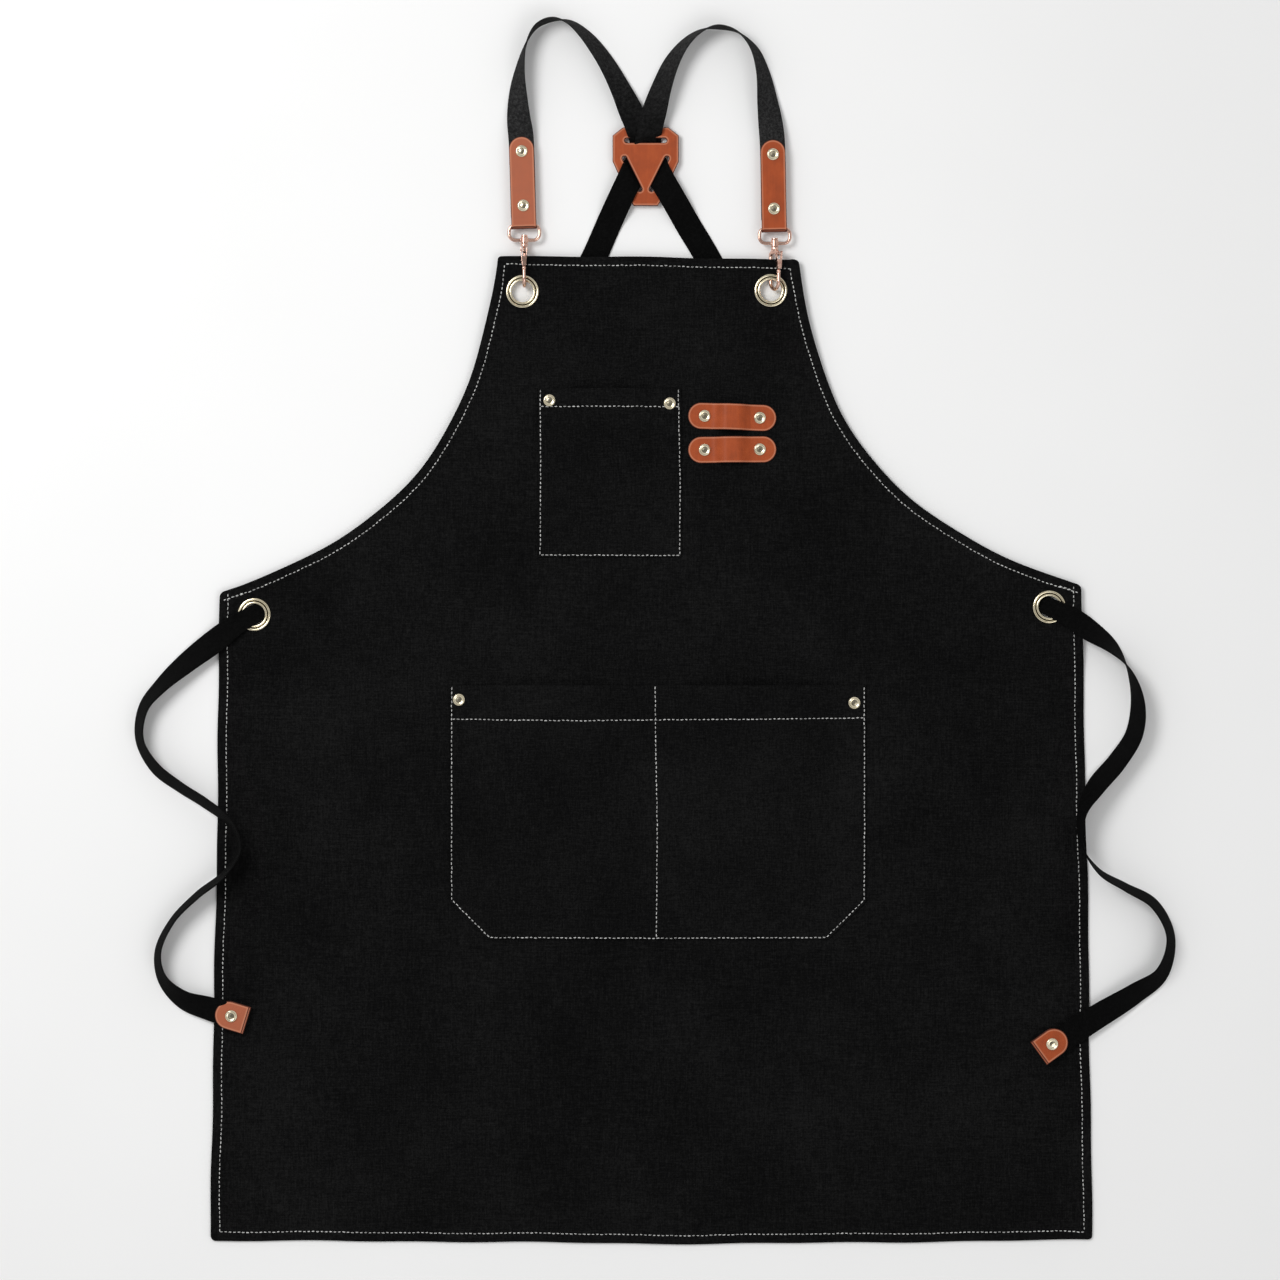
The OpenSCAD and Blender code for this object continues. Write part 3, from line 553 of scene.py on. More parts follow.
def strap_mesh(name, route):
    """Sweeps the webbing's flat, round-edged section along the route."""
    line = spline(route, 2.2)
    centre = line[:, :3]
    ahead = np.gradient(centre, axis=0)
    ahead /= np.linalg.norm(ahead, axis=1)[:, None]
    level = ahead.copy()
    level[:, 2] = 0
    level /= np.linalg.norm(level, axis=1)[:, None]
    run = np.concatenate([[0], np.cumsum(np.linalg.norm(np.diff(centre, axis=0), axis=1))])
    loop = [(a, 1) for a in ACROSS] + [(a, -1) for a in reversed(ACROSS[1:-1])]
    rings = []
    uvs = []
    for i, c in enumerate(centre):
        f = Vector(level[i])
        side = f.cross(Vector((0, 0, 1)))
        side = Matrix.Rotation(math.radians(line[i, 5]), 3, "Z") @ side
        up = side.cross(Vector(ahead[i])).normalized()
        roll = math.radians(line[i, 3])
        across = side * math.cos(roll) + up * math.sin(roll)
        face = up * math.cos(roll) - side * math.sin(roll)
        half = line[i, 4] / math.cos(math.radians(line[i, 5]))
        curl = max(0, FULL - line[i, 4]) * 0.55
        wave = 0.12 * math.sin(run[i] / 9.0) + 0.1 * math.sin(run[i] / 23.0 + 1)
        ring = []
        for a, s in loop:
            thick = WEB_T / 2 * math.sqrt(max(0.0, 1 - abs(a) ** 12)) * (1 - 0.12 * a * a)
            rise = curl * (a * a - 0.4) + wave * a
            ring.append(Vector(c) + across * (a * half) + face * (s * thick + rise))
            uvs.append((run[i] * MM, (a + 1) / 2))
        rings.append(ring)
    # A ring that would dip into the table is raised, and its neighbours with it
    need = np.array([max(0.0, TABLE_GAP - min(p.z for p in ring)) for ring in rings])
    for _ in range(4):
        need = np.maximum(need, np.convolve(need, [0.25, 0.5, 0.25], "same"))
    centre = centre + np.outer(need, [0, 0, 1])
    run = np.concatenate([[0], np.cumsum(np.linalg.norm(np.diff(centre, axis=0), axis=1))])
    verts = [(p + Vector((0, 0, up))) * MM for ring, up in zip(rings, need) for p in ring]
    k = len(loop)
    n = len(centre)
    faces = []
    for i in range(n - 1):
        for j in range(k):
            j2 = (j + 1) % k
            faces.append((i * k + j, i * k + j2, (i + 1) * k + j2, (i + 1) * k + j))
    faces.append(tuple(reversed(range(k))))
    faces.append(tuple((n - 1) * k + j for j in range(k)))
    piece = mesh_piece(name, verts, faces, WEBBING, sharp=60)
    layer = piece.data.uv_layers.new(name="UVMap")
    for loop_item in piece.data.loops:
        layer.data[loop_item.index].uv = uvs[loop_item.vertex_index]
    return piece, [Vector(c) * MM for c in centre], run[-1] * MM


left_web, left_path, left_len = strap_mesh("left_webbing", LEFT_ROUTE)
dress(left_web, "apron", "webbing", "left_strap")
right_web, right_path, right_len = strap_mesh("right_webbing", RIGHT_ROUTE)
dress(right_web, "apron", "webbing", "right_strap")

# ---------------------------------------------------------------- the panel

CANVAS_T = 0.8
HEM_T = 2.4
MID_LIFT = 3.2
TOP_LIFT = 5
HEM_FOLD = 10
BIB_EYELETS = [(-102.6, 362.6), (94, 363.4)]
SIDE_EYELETS = [(-315, 107), (314.5, 113)]
HOLE_R = 9.35


def lift(y):
    """How high the panel's back face lies: over the straps, then over the hooks."""
    return MID_LIFT * smooth_step(y, 52, 92) + (TOP_LIFT - MID_LIFT) * smooth_step(y, 288, 342)


def bezier(p, n):
    t = np.linspace(0, 1, n)[:, None]
    p = np.array(p, float)
    return (1 - t) ** 3 * p[0] + 3 * (1 - t) ** 2 * t * p[1] + 3 * (1 - t) * t * t * p[2] + t ** 3 * p[3]


def bib_corner(s):
    return np.array([-3.5 + s * 119.5, 390 - s * 2])


def waist_corner(s):
    return np.array([s * 342 - 1, 128 + s * 3])


def armhole(s):
    down = np.array([s * math.sin(math.radians(7)), -math.cos(math.radians(7))])
    inward = np.array([-s * math.cos(math.radians(17)), math.sin(math.radians(17))])
    top = bib_corner(s)
    low = waist_corner(s)
    return bezier([top, top + 130 * down, low + 165 * inward, low], 60)


def rounded(points, sharp, radius):
    """Trims the sharp corners and puts a small curve in each."""
    out = []
    n = len(points)
    for i, p in enumerate(points):
        if i not in sharp:
            out.append(p)
            continue
        a = points[i - 1] - p
        b = points[(i + 1) % n] - p
        a = p + a / np.linalg.norm(a) * min(radius, np.linalg.norm(a) * 0.6)
        b = p + b / np.linalg.norm(b) * min(radius, np.linalg.norm(b) * 0.6)
        for t in np.linspace(0, 1, 7):
            out.append((1 - t) ** 2 * a + 2 * t * (1 - t) * p + t * t * b)
    return np.array(out)


def subdivide(points, step):
    out = []
    for a, b in zip(points, np.roll(points, -1, axis=0)):
        n = max(1, round(np.linalg.norm(b - a) / step))
        out += [a + (b - a) * k / n for k in range(n)]
    return np.array(out)


def outward(points):
    """Unit normals of a closed clockwise outline, smoothed a little."""
    t = np.roll(points, -1, axis=0) - np.roll(points, 1, axis=0)
    t /= np.linalg.norm(t, axis=1)[:, None]
    return np.stack([-t[:, 1], t[:, 0]], axis=1)


# The bottom edge, which sags a little in the middle
HEM_LINE = [(350, -389.5), (0, -392), (-350, -389.5)]


def make_outline():
    right = armhole(1)
    left = armhole(-1)[::-1]
    pts = np.vstack([right, HEM_LINE, left])
    n = len(right)
    corners = {0, n - 1, n, n + 2, n + 3, len(pts) - 1}
    fine = subdivide(rounded(pts, corners, 5), 3.0)
    run = np.concatenate([[0], np.cumsum(np.linalg.norm(np.diff(fine, axis=0), axis=1))])
    sway = 0.35 * np.sin(run / 31.0) + 0.3 * np.sin(run / 13.7 + 1.3) + 0.45 * np.sin(run / 83.0 + 0.4)
    return fine + outward(fine) * (sway - 0.5)[:, None]


OUTLINE = make_outline()


def edge_distance(p):
    """How far each point is from the panel's edge."""
    a = OUTLINE
    b = np.roll(OUTLINE, -1, axis=0)
    ab = b - a
    out = np.empty(len(p))
    for start in range(0, len(p), 2000):
        q = p[start:start + 2000, None, :]
        t = np.clip(((q - a) * ab).sum(2) / (ab * ab).sum(1), 0, 1)
        out[start:start + 2000] = np.sqrt(((q - (a + t[..., None] * ab)) ** 2).sum(2)).min(1)
    return out


def calm(x, y):
    """0 beside the eyelets, where the cloth is held flat, and 1 away from them."""
    out = np.ones_like(x)
    for ex, ey in BIB_EYELETS + SIDE_EYELETS:
        out *= smooth_step(np.hypot(x - ex, y - ey), 14, 45)
    return out


def cloth_waves(x, y):
    """The slow rise and fall of cloth that has been folded and laid out by hand."""
    w = 0.5 + 0.5 * np.sin(x / 41.0 + 0.7 * np.sin(y / 120.0) + 0.4)
    w2 = 0.5 + 0.5 * np.sin(y / 57.0 + 0.9 * np.sin(x / 90.0) + 2.0)
    w3 = 0.5 + 0.5 * np.sin(x / 17.0 + y / 23.0)
    crease = np.exp(-((x + 232 + 0.02 * y) / 5.0) ** 2) + np.exp(-((x - 226 - 0.015 * y) / 5.0) ** 2)
    crease += np.exp(-((y + 262 + 0.012 * x) / 5.0) ** 2) * 0.8
    return 0.6 * w * w2 + 0.18 * w3 + 0.35 * crease


STITCH_IN = 7


def panel_front(x, y, e):
    """Height of the panel's front face, in millimetres, where e is the distance from the edge."""
    groove = -0.3 * np.exp(-((e - STITCH_IN) / 0.9) ** 2)
    pucker = 0.1 * np.sin((x + y) / 2.6) * np.exp(-((e - STITCH_IN) / 5.0) ** 2)
    waves = cloth_waves(x, y) * smooth_step(e, 12, 40) * calm(x, y)
    return lift(y) + CANVAS_T + hem_rise(e) + groove + pucker - round_off(e) + waves


def rolled(e, radius=1.0):
    """1 at a cloth edge and 0 a radius in from it, falling as a quarter circle does."""
    return 1 - np.sqrt(np.clip(1 - (1 - np.clip(e / radius, 0, 1)) ** 2, 0, 1))


def hem_rise(e):
    """How much thicker the turned hem is than one layer."""
    return (HEM_T - CANVAS_T) * (1 - smooth_step(e, HEM_FOLD - 1.6, HEM_FOLD + 1.4))


def round_off(e):
    """How far each face of the panel draws in at its rolled edge."""
    return 0.75 * rolled(e, 1.2)


RING_N = 40
RING_RADII = (HOLE_R, 11.5, 14.5, 18)


def make_panel():
    normal = outward(OUTLINE)
    points = [OUTLINE]
    for inset in (0.45, 1.1, 2.2, 4.0, 5.2, 6.3, 7.0, 7.7, 9.0, 10.6, 12.2, 14.4, 17.5):
        ring = OUTLINE - normal * inset
        points.append(ring[edge_distance(ring) > inset - 0.15])
    step = 4.2
    gx, gy = np.meshgrid(np.arange(-350, 351, step), np.arange(-392, 392, step))
    grid = np.stack([gx.ravel(), gy.ravel()], axis=1)
    grid = grid + np.stack([np.sin(grid[:, 1] * 3.1), np.cos(grid[:, 0] * 2.7)], axis=1) * 0.35
    grid = grid[inside(grid) & (edge_distance(grid) > 19.5)]
    circles = []
    for cx, cy in BIB_EYELETS + SIDE_EYELETS:
        for r in RING_RADII:
            a = np.arange(RING_N) * 2 * math.pi / RING_N
            circles.append(np.stack([cx + r * np.cos(a), cy + r * np.sin(a)], axis=1))
    free = np.vstack(points[1:] + [grid])
    for cx, cy in BIB_EYELETS + SIDE_EYELETS:
        free = free[np.hypot(free[:, 0] - cx, free[:, 1] - cy) > 20]
    n = len(OUTLINE)
    everything = np.vstack([OUTLINE] + circles + [free])
    edges = [(i, (i + 1) % n) for i in range(n)]
    for k in range(len(BIB_EYELETS + SIDE_EYELETS)):
        hole = n + k * RING_N * len(RING_RADII)
        edges += [(hole + i, hole + (i + 1) % RING_N) for i in range(RING_N)]
    flat, _, tris, _, _, _ = delaunay_2d_cdt(
        [Vector(p) for p in everything], edges, [list(range(n))], 1, 1e-6)
    flat = np.array([tuple(p) for p in flat])
    tris = np.array(tris)
    middle = flat[tris].mean(axis=1)
    keep = inside(middle)
    for cx, cy in BIB_EYELETS + SIDE_EYELETS:
        keep &= np.hypot(middle[:, 0] - cx, middle[:, 1] - cy) > HOLE_R - 0.05
    tris = tris[keep]
    area = np.cross(flat[tris[:, 1]] - flat[tris[:, 0]], flat[tris[:, 2]] - flat[tris[:, 0]])
    tris[area < 0] = tris[area < 0][:, ::-1]
    return closed_sheet("canvas_panel", flat, tris)


def inside(p):
    """Which points lie inside the outline, by counting crossings."""
    a = OUTLINE
    b = np.roll(OUTLINE, -1, axis=0)
    out = np.zeros(len(p), bool)
    for start in range(0, len(p), 4000):
        x = p[start:start + 4000, 0:1]
        y = p[start:start + 4000, 1:2]
        over = (a[:, 1] > y) != (b[:, 1] > y)
        slope = (b[:, 0] - a[:, 0]) / np.where(b[:, 1] == a[:, 1], 1e-9, b[:, 1] - a[:, 1])
        hit = x < slope * (y - a[:, 1]) + a[:, 0]
        out[start:start + 4000] = (over & hit).sum(1) % 2 == 1
    return out


def closed_sheet(name, flat, tris):
    """Gives the flat triangles their height and a back face, and joins the two round every edge."""
    x, y = flat[:, 0], flat[:, 1]
    e = edge_distance(flat)
    front = panel_front(x, y, e)
    back = np.maximum(front - CANVAS_T - hem_rise(e) + 2 * round_off(e), 0)
    n = len(flat)
    verts = np.vstack([np.column_stack([x, y, front]), np.column_stack([x, y, back])]) * MM
    faces = [tuple(t) for t in tris] + [tuple(int(v) + n for v in t[::-1]) for t in tris]
    sides = [(int(t[k]), int(t[(k + 1) % 3])) for t in tris for k in range(3)]
    seen = set(sides)
    faces += [(q, p, p + n, q + n) for p, q in sides if (q, p) not in seen]
    return mesh_piece(name, verts, faces, CANVAS, sharp=75)


panel = dress(make_panel(), "apron", "canvas", "apron_panel")


def height_at(x, y):
    p = np.array([[x, y]], float)
    return float(panel_front(p[:, 0], p[:, 1], edge_distance(p))[0])


# ---------------------------------------------------------------- pockets

CHEST = {"x": -33.3, "w": 113.5, "top": 286, "h": 133.5, "gape": 6.5, "hem": 14.5}
LOWER = {"x": 4.7, "w": 330, "top": 51, "h": 201.5, "gape": 8, "hem": 26, "chamfer": 30}
SEAM_X = 3.5         # the lower pocket's dividing seam
SEAM_IN = 1.6        # from a pocket's edge to its stitching


def rise(x, over):
    t = np.clip(np.asarray(x, float) / over, 0, 1)
    return (1 - np.cos(math.pi * t)) / 2


def chest_gape(x, y):
    half = CHEST["w"] / 2
    v = (y - CHEST["top"] + CHEST["h"]) / CHEST["h"]
    return CHEST["gape"] * rise(v - 0.12, 0.6) * rise(half - np.abs(x - CHEST["x"]) - 16, half * 0.5)


def lower_gape(x, y):
    half = LOWER["w"] / 4
    v = (y - LOWER["top"] + LOWER["h"]) / LOWER["h"]
    side = np.where(x < SEAM_X, -1, 1)
    across = half - np.abs(x - SEAM_X - side * half)
    return LOWER["gape"] * rise(v - 0.12, 0.6) * rise(across - 17, half * 0.5)


def pocket_piece(name, spec, gape, nx, ny, chamfer=0):
    """A patch of canvas with folded edges and a doubled mouth hem, lying on the panel."""
    half = spec["w"] / 2
    bottom = spec["top"] - spec["h"]
    close = [s * (1 - d / half) for d in (0, 0.4, 1, 2, 3, 4.5, 6.5) for s in (-1, 1)]
    u = np.unique(np.concatenate([np.linspace(-1, 1, nx), close]))
    low_rows = [bottom + d for d in (0.4, 1, 2, 3, 4.5, 6.5)]
    top_rows = [spec["top"] - d for d in (0.4, 1, 2)]
    hem_rows = [spec["top"] - spec["hem"] + d for d in (-2.4, -1.2, -0.5, 0, 0.6, 1.4)]
    y = np.unique(np.concatenate([np.linspace(bottom, spec["top"], ny), low_rows, top_rows, hem_rows]))
    y = np.delete(y, np.where(np.diff(y) < 0.15)[0] + 1)
    u = np.delete(u, np.where(np.diff(u) < 0.15 / half)[0] + 1)
    y[-1] = spec["top"]
    u[-1] = 1
    rows = []
    for yy in y:
        cut = max(0.0, chamfer - (yy - bottom))
        rows.append(np.column_stack([spec["x"] + u * (half - cut), np.full(len(u), yy)]))
    flat = np.vstack(rows)
    x, yy = flat[:, 0], flat[:, 1]
    cut = np.maximum(0.0, chamfer - (yy - bottom))
    side = half - cut - np.abs(x - spec["x"])
    side = np.where(cut > 0, side * 0.72, side)
    e = np.minimum(side, yy - bottom)
    base = panel_front(x, yy, np.full(len(x), 60.0))
    fold = 0.75 * (1 - smooth_step(e, 6.5, 9.0))
    mouth = 0.75 * smooth_step(yy, spec["top"] - spec["hem"] - 0.8, spec["top"] - spec["hem"] + 0.8)
    lip = -0.5 * rolled(np.minimum(e, spec["top"] - yy))
    seam = -0.25 * np.exp(-((e - SEAM_IN) / 0.8) ** 2)
    seam = seam - 0.22 * np.exp(-((yy - spec["top"] + spec["hem"]) / 0.8) ** 2)
    pucker = 0.14 * np.sin(yy / 2.3 + x / 3.1) * np.exp(-(e / 6.0) ** 2)
    wrinkle = 0.35 * np.sin(x / 9.0 + yy / 31.0) * np.sin(yy / 17.0 + 0.8) * smooth_step(e, 4, 20)
    inner = base + 0.05 + gape(x, yy) + np.abs(wrinkle)
    front = inner + 0.75 + np.maximum(fold, mouth) + lip + seam + pucker
    nu = len(u)
    n = len(flat)
    verts = np.vstack([np.column_stack([x, yy, front]), np.column_stack([x, yy, inner])]) * MM
    faces = []
    rim = []
    for j in range(len(y) - 1):
        for i in range(nu - 1):
            a = j * nu + i
            faces.append((a, a + 1, a + nu + 1, a + nu))
            faces.append((a + n, a + nu + n, a + nu + 1 + n, a + 1 + n))
    top = (len(y) - 1) * nu
    for i in range(nu - 1):
        rim.append((i + 1, i))
        rim.append((top + i, top + i + 1))
    for j in range(len(y) - 1):
        rim.append((j * nu, (j + 1) * nu))
        rim.append(((j + 1) * nu + nu - 1, j * nu + nu - 1))
    faces += [(p, q, q + n, p + n) for p, q in rim]
    return mesh_piece(name, verts, faces, CANVAS, sharp=75)


chest = dress(pocket_piece("chest_patch", CHEST, chest_gape, 46, 50), "apron", "canvas", "chest_pocket")
lower = dress(pocket_piece("lower_patch", LOWER, lower_gape, 110, 60, 30), "apron", "canvas", "lower_pocket")

# ---------------------------------------------------------------- top-stitching

STITCH_PITCH = 3.45
THREAD_R = 0.4


def stitch_line(points, height, closed=False):
    """Short thread beads along a line of points, dipping into the cloth at each needle hole."""
    pts = np.array(points, float)
    if closed:
        pts = np.vstack([pts, pts[:1]])
    run = np.concatenate([[0], np.cumsum(np.linalg.norm(np.diff(pts, axis=0), axis=1))])
    n = int(run[-1] / STITCH_PITCH)
    beads = []
    for i in range(n):
        a = (i + 0.12) * run[-1] / n
        b = (i + 0.88) * run[-1] / n
        ax, ay = np.interp(a, run, pts[:, 0]), np.interp(a, run, pts[:, 1])
        bx, by = np.interp(b, run, pts[:, 0]), np.interp(b, run, pts[:, 1])
        j = rng.uniform(-0.22, 0.22)
        d = np.array([bx - ax, by - ay])
        d /= np.linalg.norm(d)
        side = np.array([-d[1], d[0]])
        length = rng.uniform(0.82, 1.04)
        mid = np.array([(ax + bx) / 2, (ay + by) / 2])
        half = np.linalg.norm([bx - ax, by - ay]) / 2 * length
        tilt = rng.uniform(-0.09, 0.09)
        d = d + side * tilt
        beads.append((mid + side * j, d, side, half, height(mid[0], mid[1])))
    return beads


def thread_piece(name, beads):
    """Six-sided tapering beads, one for each stitch."""
    verts = []
    faces = []
    for mid, d, side, half, z in beads:
        base = len(verts)
        swell = rng.uniform(0.88, 1.12)
        for t, r, dip in ((-1, 0.3, -0.42), (-0.7, 0.82, -0.05), (-0.25, 1, 0.12), (0.25, 1, 0.12),
                          (0.7, 0.82, -0.05), (1, 0.3, -0.42)):
            c = mid + d * (half * t)
            for k in range(6):
                a = math.pi / 3 * k
                x, y = c + side * (math.cos(a) * THREAD_R * r * swell)
                verts.append((x * MM, y * MM, (z + dip + 0.12 + math.sin(a) * THREAD_R * r * swell) * MM))
        for ring in range(5):
            for k in range(6):
                k2 = (k + 1) % 6
                a = base + ring * 6
                faces.append((a + k, a + 6 + k, a + 6 + k2, a + k2))
        faces.append(tuple(base + k for k in range(6)))
        faces.append(tuple(base + 30 + k for k in reversed(range(6))))
    return mesh_piece(name, verts, faces, THREAD)


def surface_heights(piece):
    """A look-up of a cloth piece's front face, straight down onto it."""
    mesh = piece.data
    tree = BVHTree.FromPolygons([v.co for v in mesh.vertices], [p.vertices for p in mesh.polygons])

    def look(x, y):
        hit = tree.ray_cast(Vector((x * MM, y * MM, 0.2)), Vector((0, 0, -1)))[0]
        return hit.z / MM if hit is not None else height_at(x, y)

    return look


panel_height = surface_heights(panel)
chest_height = surface_heights(chest)
lower_height = surface_heights(lower)
# The two waist corners come third and fourth, as hem_run expects
CORNERS = np.array([bib_corner(1), bib_corner(-1), waist_corner(1), waist_corner(-1),
                    HEM_LINE[0], HEM_LINE[-1]])
SIDES = [armhole(1), [waist_corner(1), HEM_LINE[0]], HEM_LINE, [HEM_LINE[-1], waist_corner(-1)],
         armhole(-1)[::-1], [bib_corner(-1), bib_corner(1)]]


def hem_run(side):
    """One side's stitching: inset from the edge, and run right out over it at the waist corners."""
    pts = np.array(side, float)
    first = pts[0] - pts[1]
    last = pts[-1] - pts[-2]
    first = pts[0] + first / np.linalg.norm(first) * 8
    last = pts[-1] + last / np.linalg.norm(last) * 8
    pts = np.vstack([first, pts, last])
    run = np.concatenate([[0], np.cumsum(np.linalg.norm(np.diff(pts, axis=0), axis=1))])
    at = np.linspace(0, run[-1], int(run[-1] / 1.5))
    line = np.column_stack([np.interp(at, run, pts[:, 0]), np.interp(at, run, pts[:, 1])])
    ahead = np.gradient(line, axis=0)
    ahead /= np.linalg.norm(ahead, axis=1)[:, None]
    inward = np.column_stack([ahead[:, 1], -ahead[:, 0]])
    line = line + inward * (STITCH_IN + 0.5)
    gaps = np.linalg.norm(line[:, None, :] - CORNERS[None], axis=2)
    line = line + inward * ((STITCH_IN - edge_distance(line)) * smooth_step(gaps.min(1), 14, 30))[:, None]
    limit = np.where(gaps[:, 2:4].min(1) < 30, 1.6, STITCH_IN - 1.3)
    return line[inside(line) & (edge_distance(line) > limit)]


hem_beads = []
for side in SIDES:
    hem_beads += stitch_line(hem_run(side), panel_height)
# The seam is sewn back over itself where it ends at the waist
for side in (SIDES[0], SIDES[4]):
    run = hem_run(side)
    tack = run[-12:-4] if side is SIDES[0] else run[4:12]
    hem_beads += stitch_line(tack + np.array([0.3, 0.45]), panel_height)
hem_thread = thread_piece("hem_stitching", hem_beads)
dress(hem_thread, "apron", "canvas")

cx0 = CHEST["x"] - CHEST["w"] / 2 + SEAM_IN
cx1 = CHEST["x"] + CHEST["w"] / 2 - SEAM_IN
cy0 = CHEST["top"] - CHEST["h"] + SEAM_IN
chest_mouth = CHEST["top"] - CHEST["hem"]
chest_lines = stitch_line([(cx0, CHEST["top"] - 0.6), (cx0 + 0.3, 220), (cx0, cy0), (cx1, cy0 - 0.4),
                           (cx1 + 0.4, 210), (cx1 - 1, CHEST["top"] - 0.6)], chest_height)
chest_lines += stitch_line([(cx0, chest_mouth), (cx1, chest_mouth)], chest_height)
dress(thread_piece("chest_stitching", chest_lines), "apron", "canvas")

lx0 = LOWER["x"] - LOWER["w"] / 2 + SEAM_IN
lx1 = LOWER["x"] + LOWER["w"] / 2 - SEAM_IN
ly0 = LOWER["top"] - LOWER["h"] + SEAM_IN
cut = LOWER["chamfer"]
ly1 = LOWER["top"]
lower_mouth = ly1 - LOWER["hem"]
lower_lines = stitch_line([(lx0, ly1 - 1), (lx0, -60), (lx0, ly0 + cut), (lx0 + cut, ly0),
                           (SEAM_X, ly0 - 0.6), (lx1 - cut, ly0), (lx1, ly0 + cut), (lx1 + 0.3, -60),
                           (lx1, ly1 - 1)], lower_height)
lower_lines += stitch_line([(lx0, lower_mouth - 1), (SEAM_X - 60, lower_mouth - 2), (lx1, lower_mouth)],
                           lower_height)
lower_lines += stitch_line([(SEAM_X - 1, ly1 - 0.4), (SEAM_X - 0.6, 10), (SEAM_X + 0.6, -60), (SEAM_X, ly0)],
                           lower_height)
dress(thread_piece("lower_stitching", lower_lines), "apron", "canvas")

# ---------------------------------------------------------------- lathed metal


def lathe(name, profile, spots, material, sides=64, closed=False, groove=None):
    """Turns a profile of (radius, height) points round each spot's own upright axis.
    A groove is the range of radius painted near black on the upper side: painted shade in the valley between the
    flange's rolls."""
    verts = []
    faces = []
    for spot in spots:
        base = len(verts)
        centre = Vector(spot)
        n = len(profile)
        for k in range(sides):
            a = 2 * math.pi * k / sides
            for r, z in profile:
                verts.append(centre + Vector((r * math.cos(a), r * math.sin(a), z)) * MM)
        last = n if closed else n - 1
        for k in range(sides):
            k2 = (k + 1) % sides
            for i in range(last):
                i2 = (i + 1) % n
                faces.append((base + k * n + i, base + k2 * n + i, base + k2 * n + i2, base + k * n + i2))
    piece = mesh_piece(name, verts, faces, material, sharp=50)
    bm = bmesh.new()
    bm.from_mesh(piece.data)
    bmesh.ops.remove_doubles(bm, verts=bm.verts, dist=1e-6)
    bmesh.ops.recalc_face_normals(bm, faces=bm.faces)
    bm.to_mesh(piece.data)
    bm.free()
    if groove:
        layer = piece.data.attributes.new("groove", "FLOAT", "POINT")
        for v in piece.data.vertices:
            r = min(math.hypot(v.co.x - x, v.co.y - y) for x, y, _ in spots) / MM
            layer.data[v.index].value = 1.0 if groove[0] < r < groove[1] and v.co.z > spots[0][2] else 0.0
    return piece


def arc(cx, cy, r, a0, a1, n=8):
    return [(cx + r * math.cos(math.radians(a0 + (a1 - a0) * i / n)),
             cy + r * math.sin(math.radians(a0 + (a1 - a0) * i / n))) for i in range(n + 1)]


# The flange: an outer roll, a valley, and an inner roll that turns down into the barrel
EYELET = (
    [(9.3, -1.7), (8.6, -1.7), (8.5, 0.2)] + arc(9.45, 0.75, 0.95, 180, 10, 10)
    + [(10.45, 0.35), (10.7, 0.2), (10.95, 0.3)] + arc(12.05, 0.45, 1.1, 160, -10, 10)
    + [(13.05, 0.0), (9.3, 0.0)]
)
# The valley between the flange's rolls, which gets painted shade.
GROOVE = (10.38, 11.12)


BIB_Z = TOP_LIFT + CANVAS_T
MID_Z = MID_LIFT + CANVAS_T
bib_spots = [(x * MM, y * MM, BIB_Z * MM) for x, y in BIB_EYELETS]
side_spots = [(x * MM, y * MM, MID_Z * MM) for x, y in SIDE_EYELETS]
# Behind the cloth, each eyelet's barrel grips a flat ring with a rounded rim
WASHER = [(9.38, -1.5), (12.65, -1.5)] + arc(12.65, -1.15, 0.35, -90, 90, 6) + [(9.38, -0.8)]


def rings(name, profile, spots, cad, groove=None):
    ring = lathe(name, profile, spots, PALE_GOLD, closed=True, groove=groove)
    return dress(ring, "apron", "pale_gold", cad)


rings("bib_rings", EYELET, bib_spots, "bib_eyelets", GROOVE)
rings("side_rings", EYELET, side_spots, "side_eyelets", GROOVE)
rings("bib_washers", WASHER, bib_spots, "bib_eyelet_washers")
rings("side_washers", WASHER, side_spots, "side_eyelet_washers")

# A rivet's cap: a rolled rim round a shallow dish with a low centre
RIVET = (
    [(0, -0.4), (1.5, -0.4), (1.5, 0.02), (4.45, 0.02)] + arc(4.25, 0.5, 0.5, -60, 80, 6)
    + arc(3.7, 0.75, 0.75, 60, 130, 5) + [(2.6, 1.0), (2.1, 1.02), (1.2, 1.18), (0, 1.24)]
)
RIVET_BACK = [(0, 0.0), (3.6, 0.0)] + arc(3.7, 0.4, 0.4, -90, 60, 6) + [(3.0, 0.78), (0, 0.8)]


def rivets_from(node):
    """Where each rivet of a node stands, from its vertices: x, y, lowest and highest z, in x order."""
    found = []
    for v in frame["nodes"][node].data.vertices:
        for spot in found:
            if math.hypot(v.co.x - spot[0].x, v.co.y - spot[0].y) < 10 * MM:
                spot.append(v.co)
                break
        else:
            found.append([v.co])
    out = []
    for spot in found:
        low = [min(c[k] for c in spot) for k in range(3)]
        high = [max(c[k] for c in spot) for k in range(3)]
        out.append(((low[0] + high[0]) / 2, (low[1] + high[1]) / 2, low[2], high[2]))
    return sorted(out)


CAP_H = 1.6
PRESSED = 0.3


def caps(name, cad, seats):
    return dress(lathe(name, RIVET, seats, PALE_GOLD, sides=40), "apron", "pale_gold", cad)


def back_caps(name, cad, found):
    seats = [(x, y, low) for x, y, low, _ in found]
    return dress(lathe(name, RIVET_BACK, seats, PALE_GOLD, sides=40), "apron", "pale_gold", cad)


def on_pocket(x, y):
    """A cap's seat on a pocket, pressed a little into its cloth."""
    look = chest_height if y > 0.1 else lower_height
    return x, y, (look(x / MM, y / MM) - PRESSED) * MM


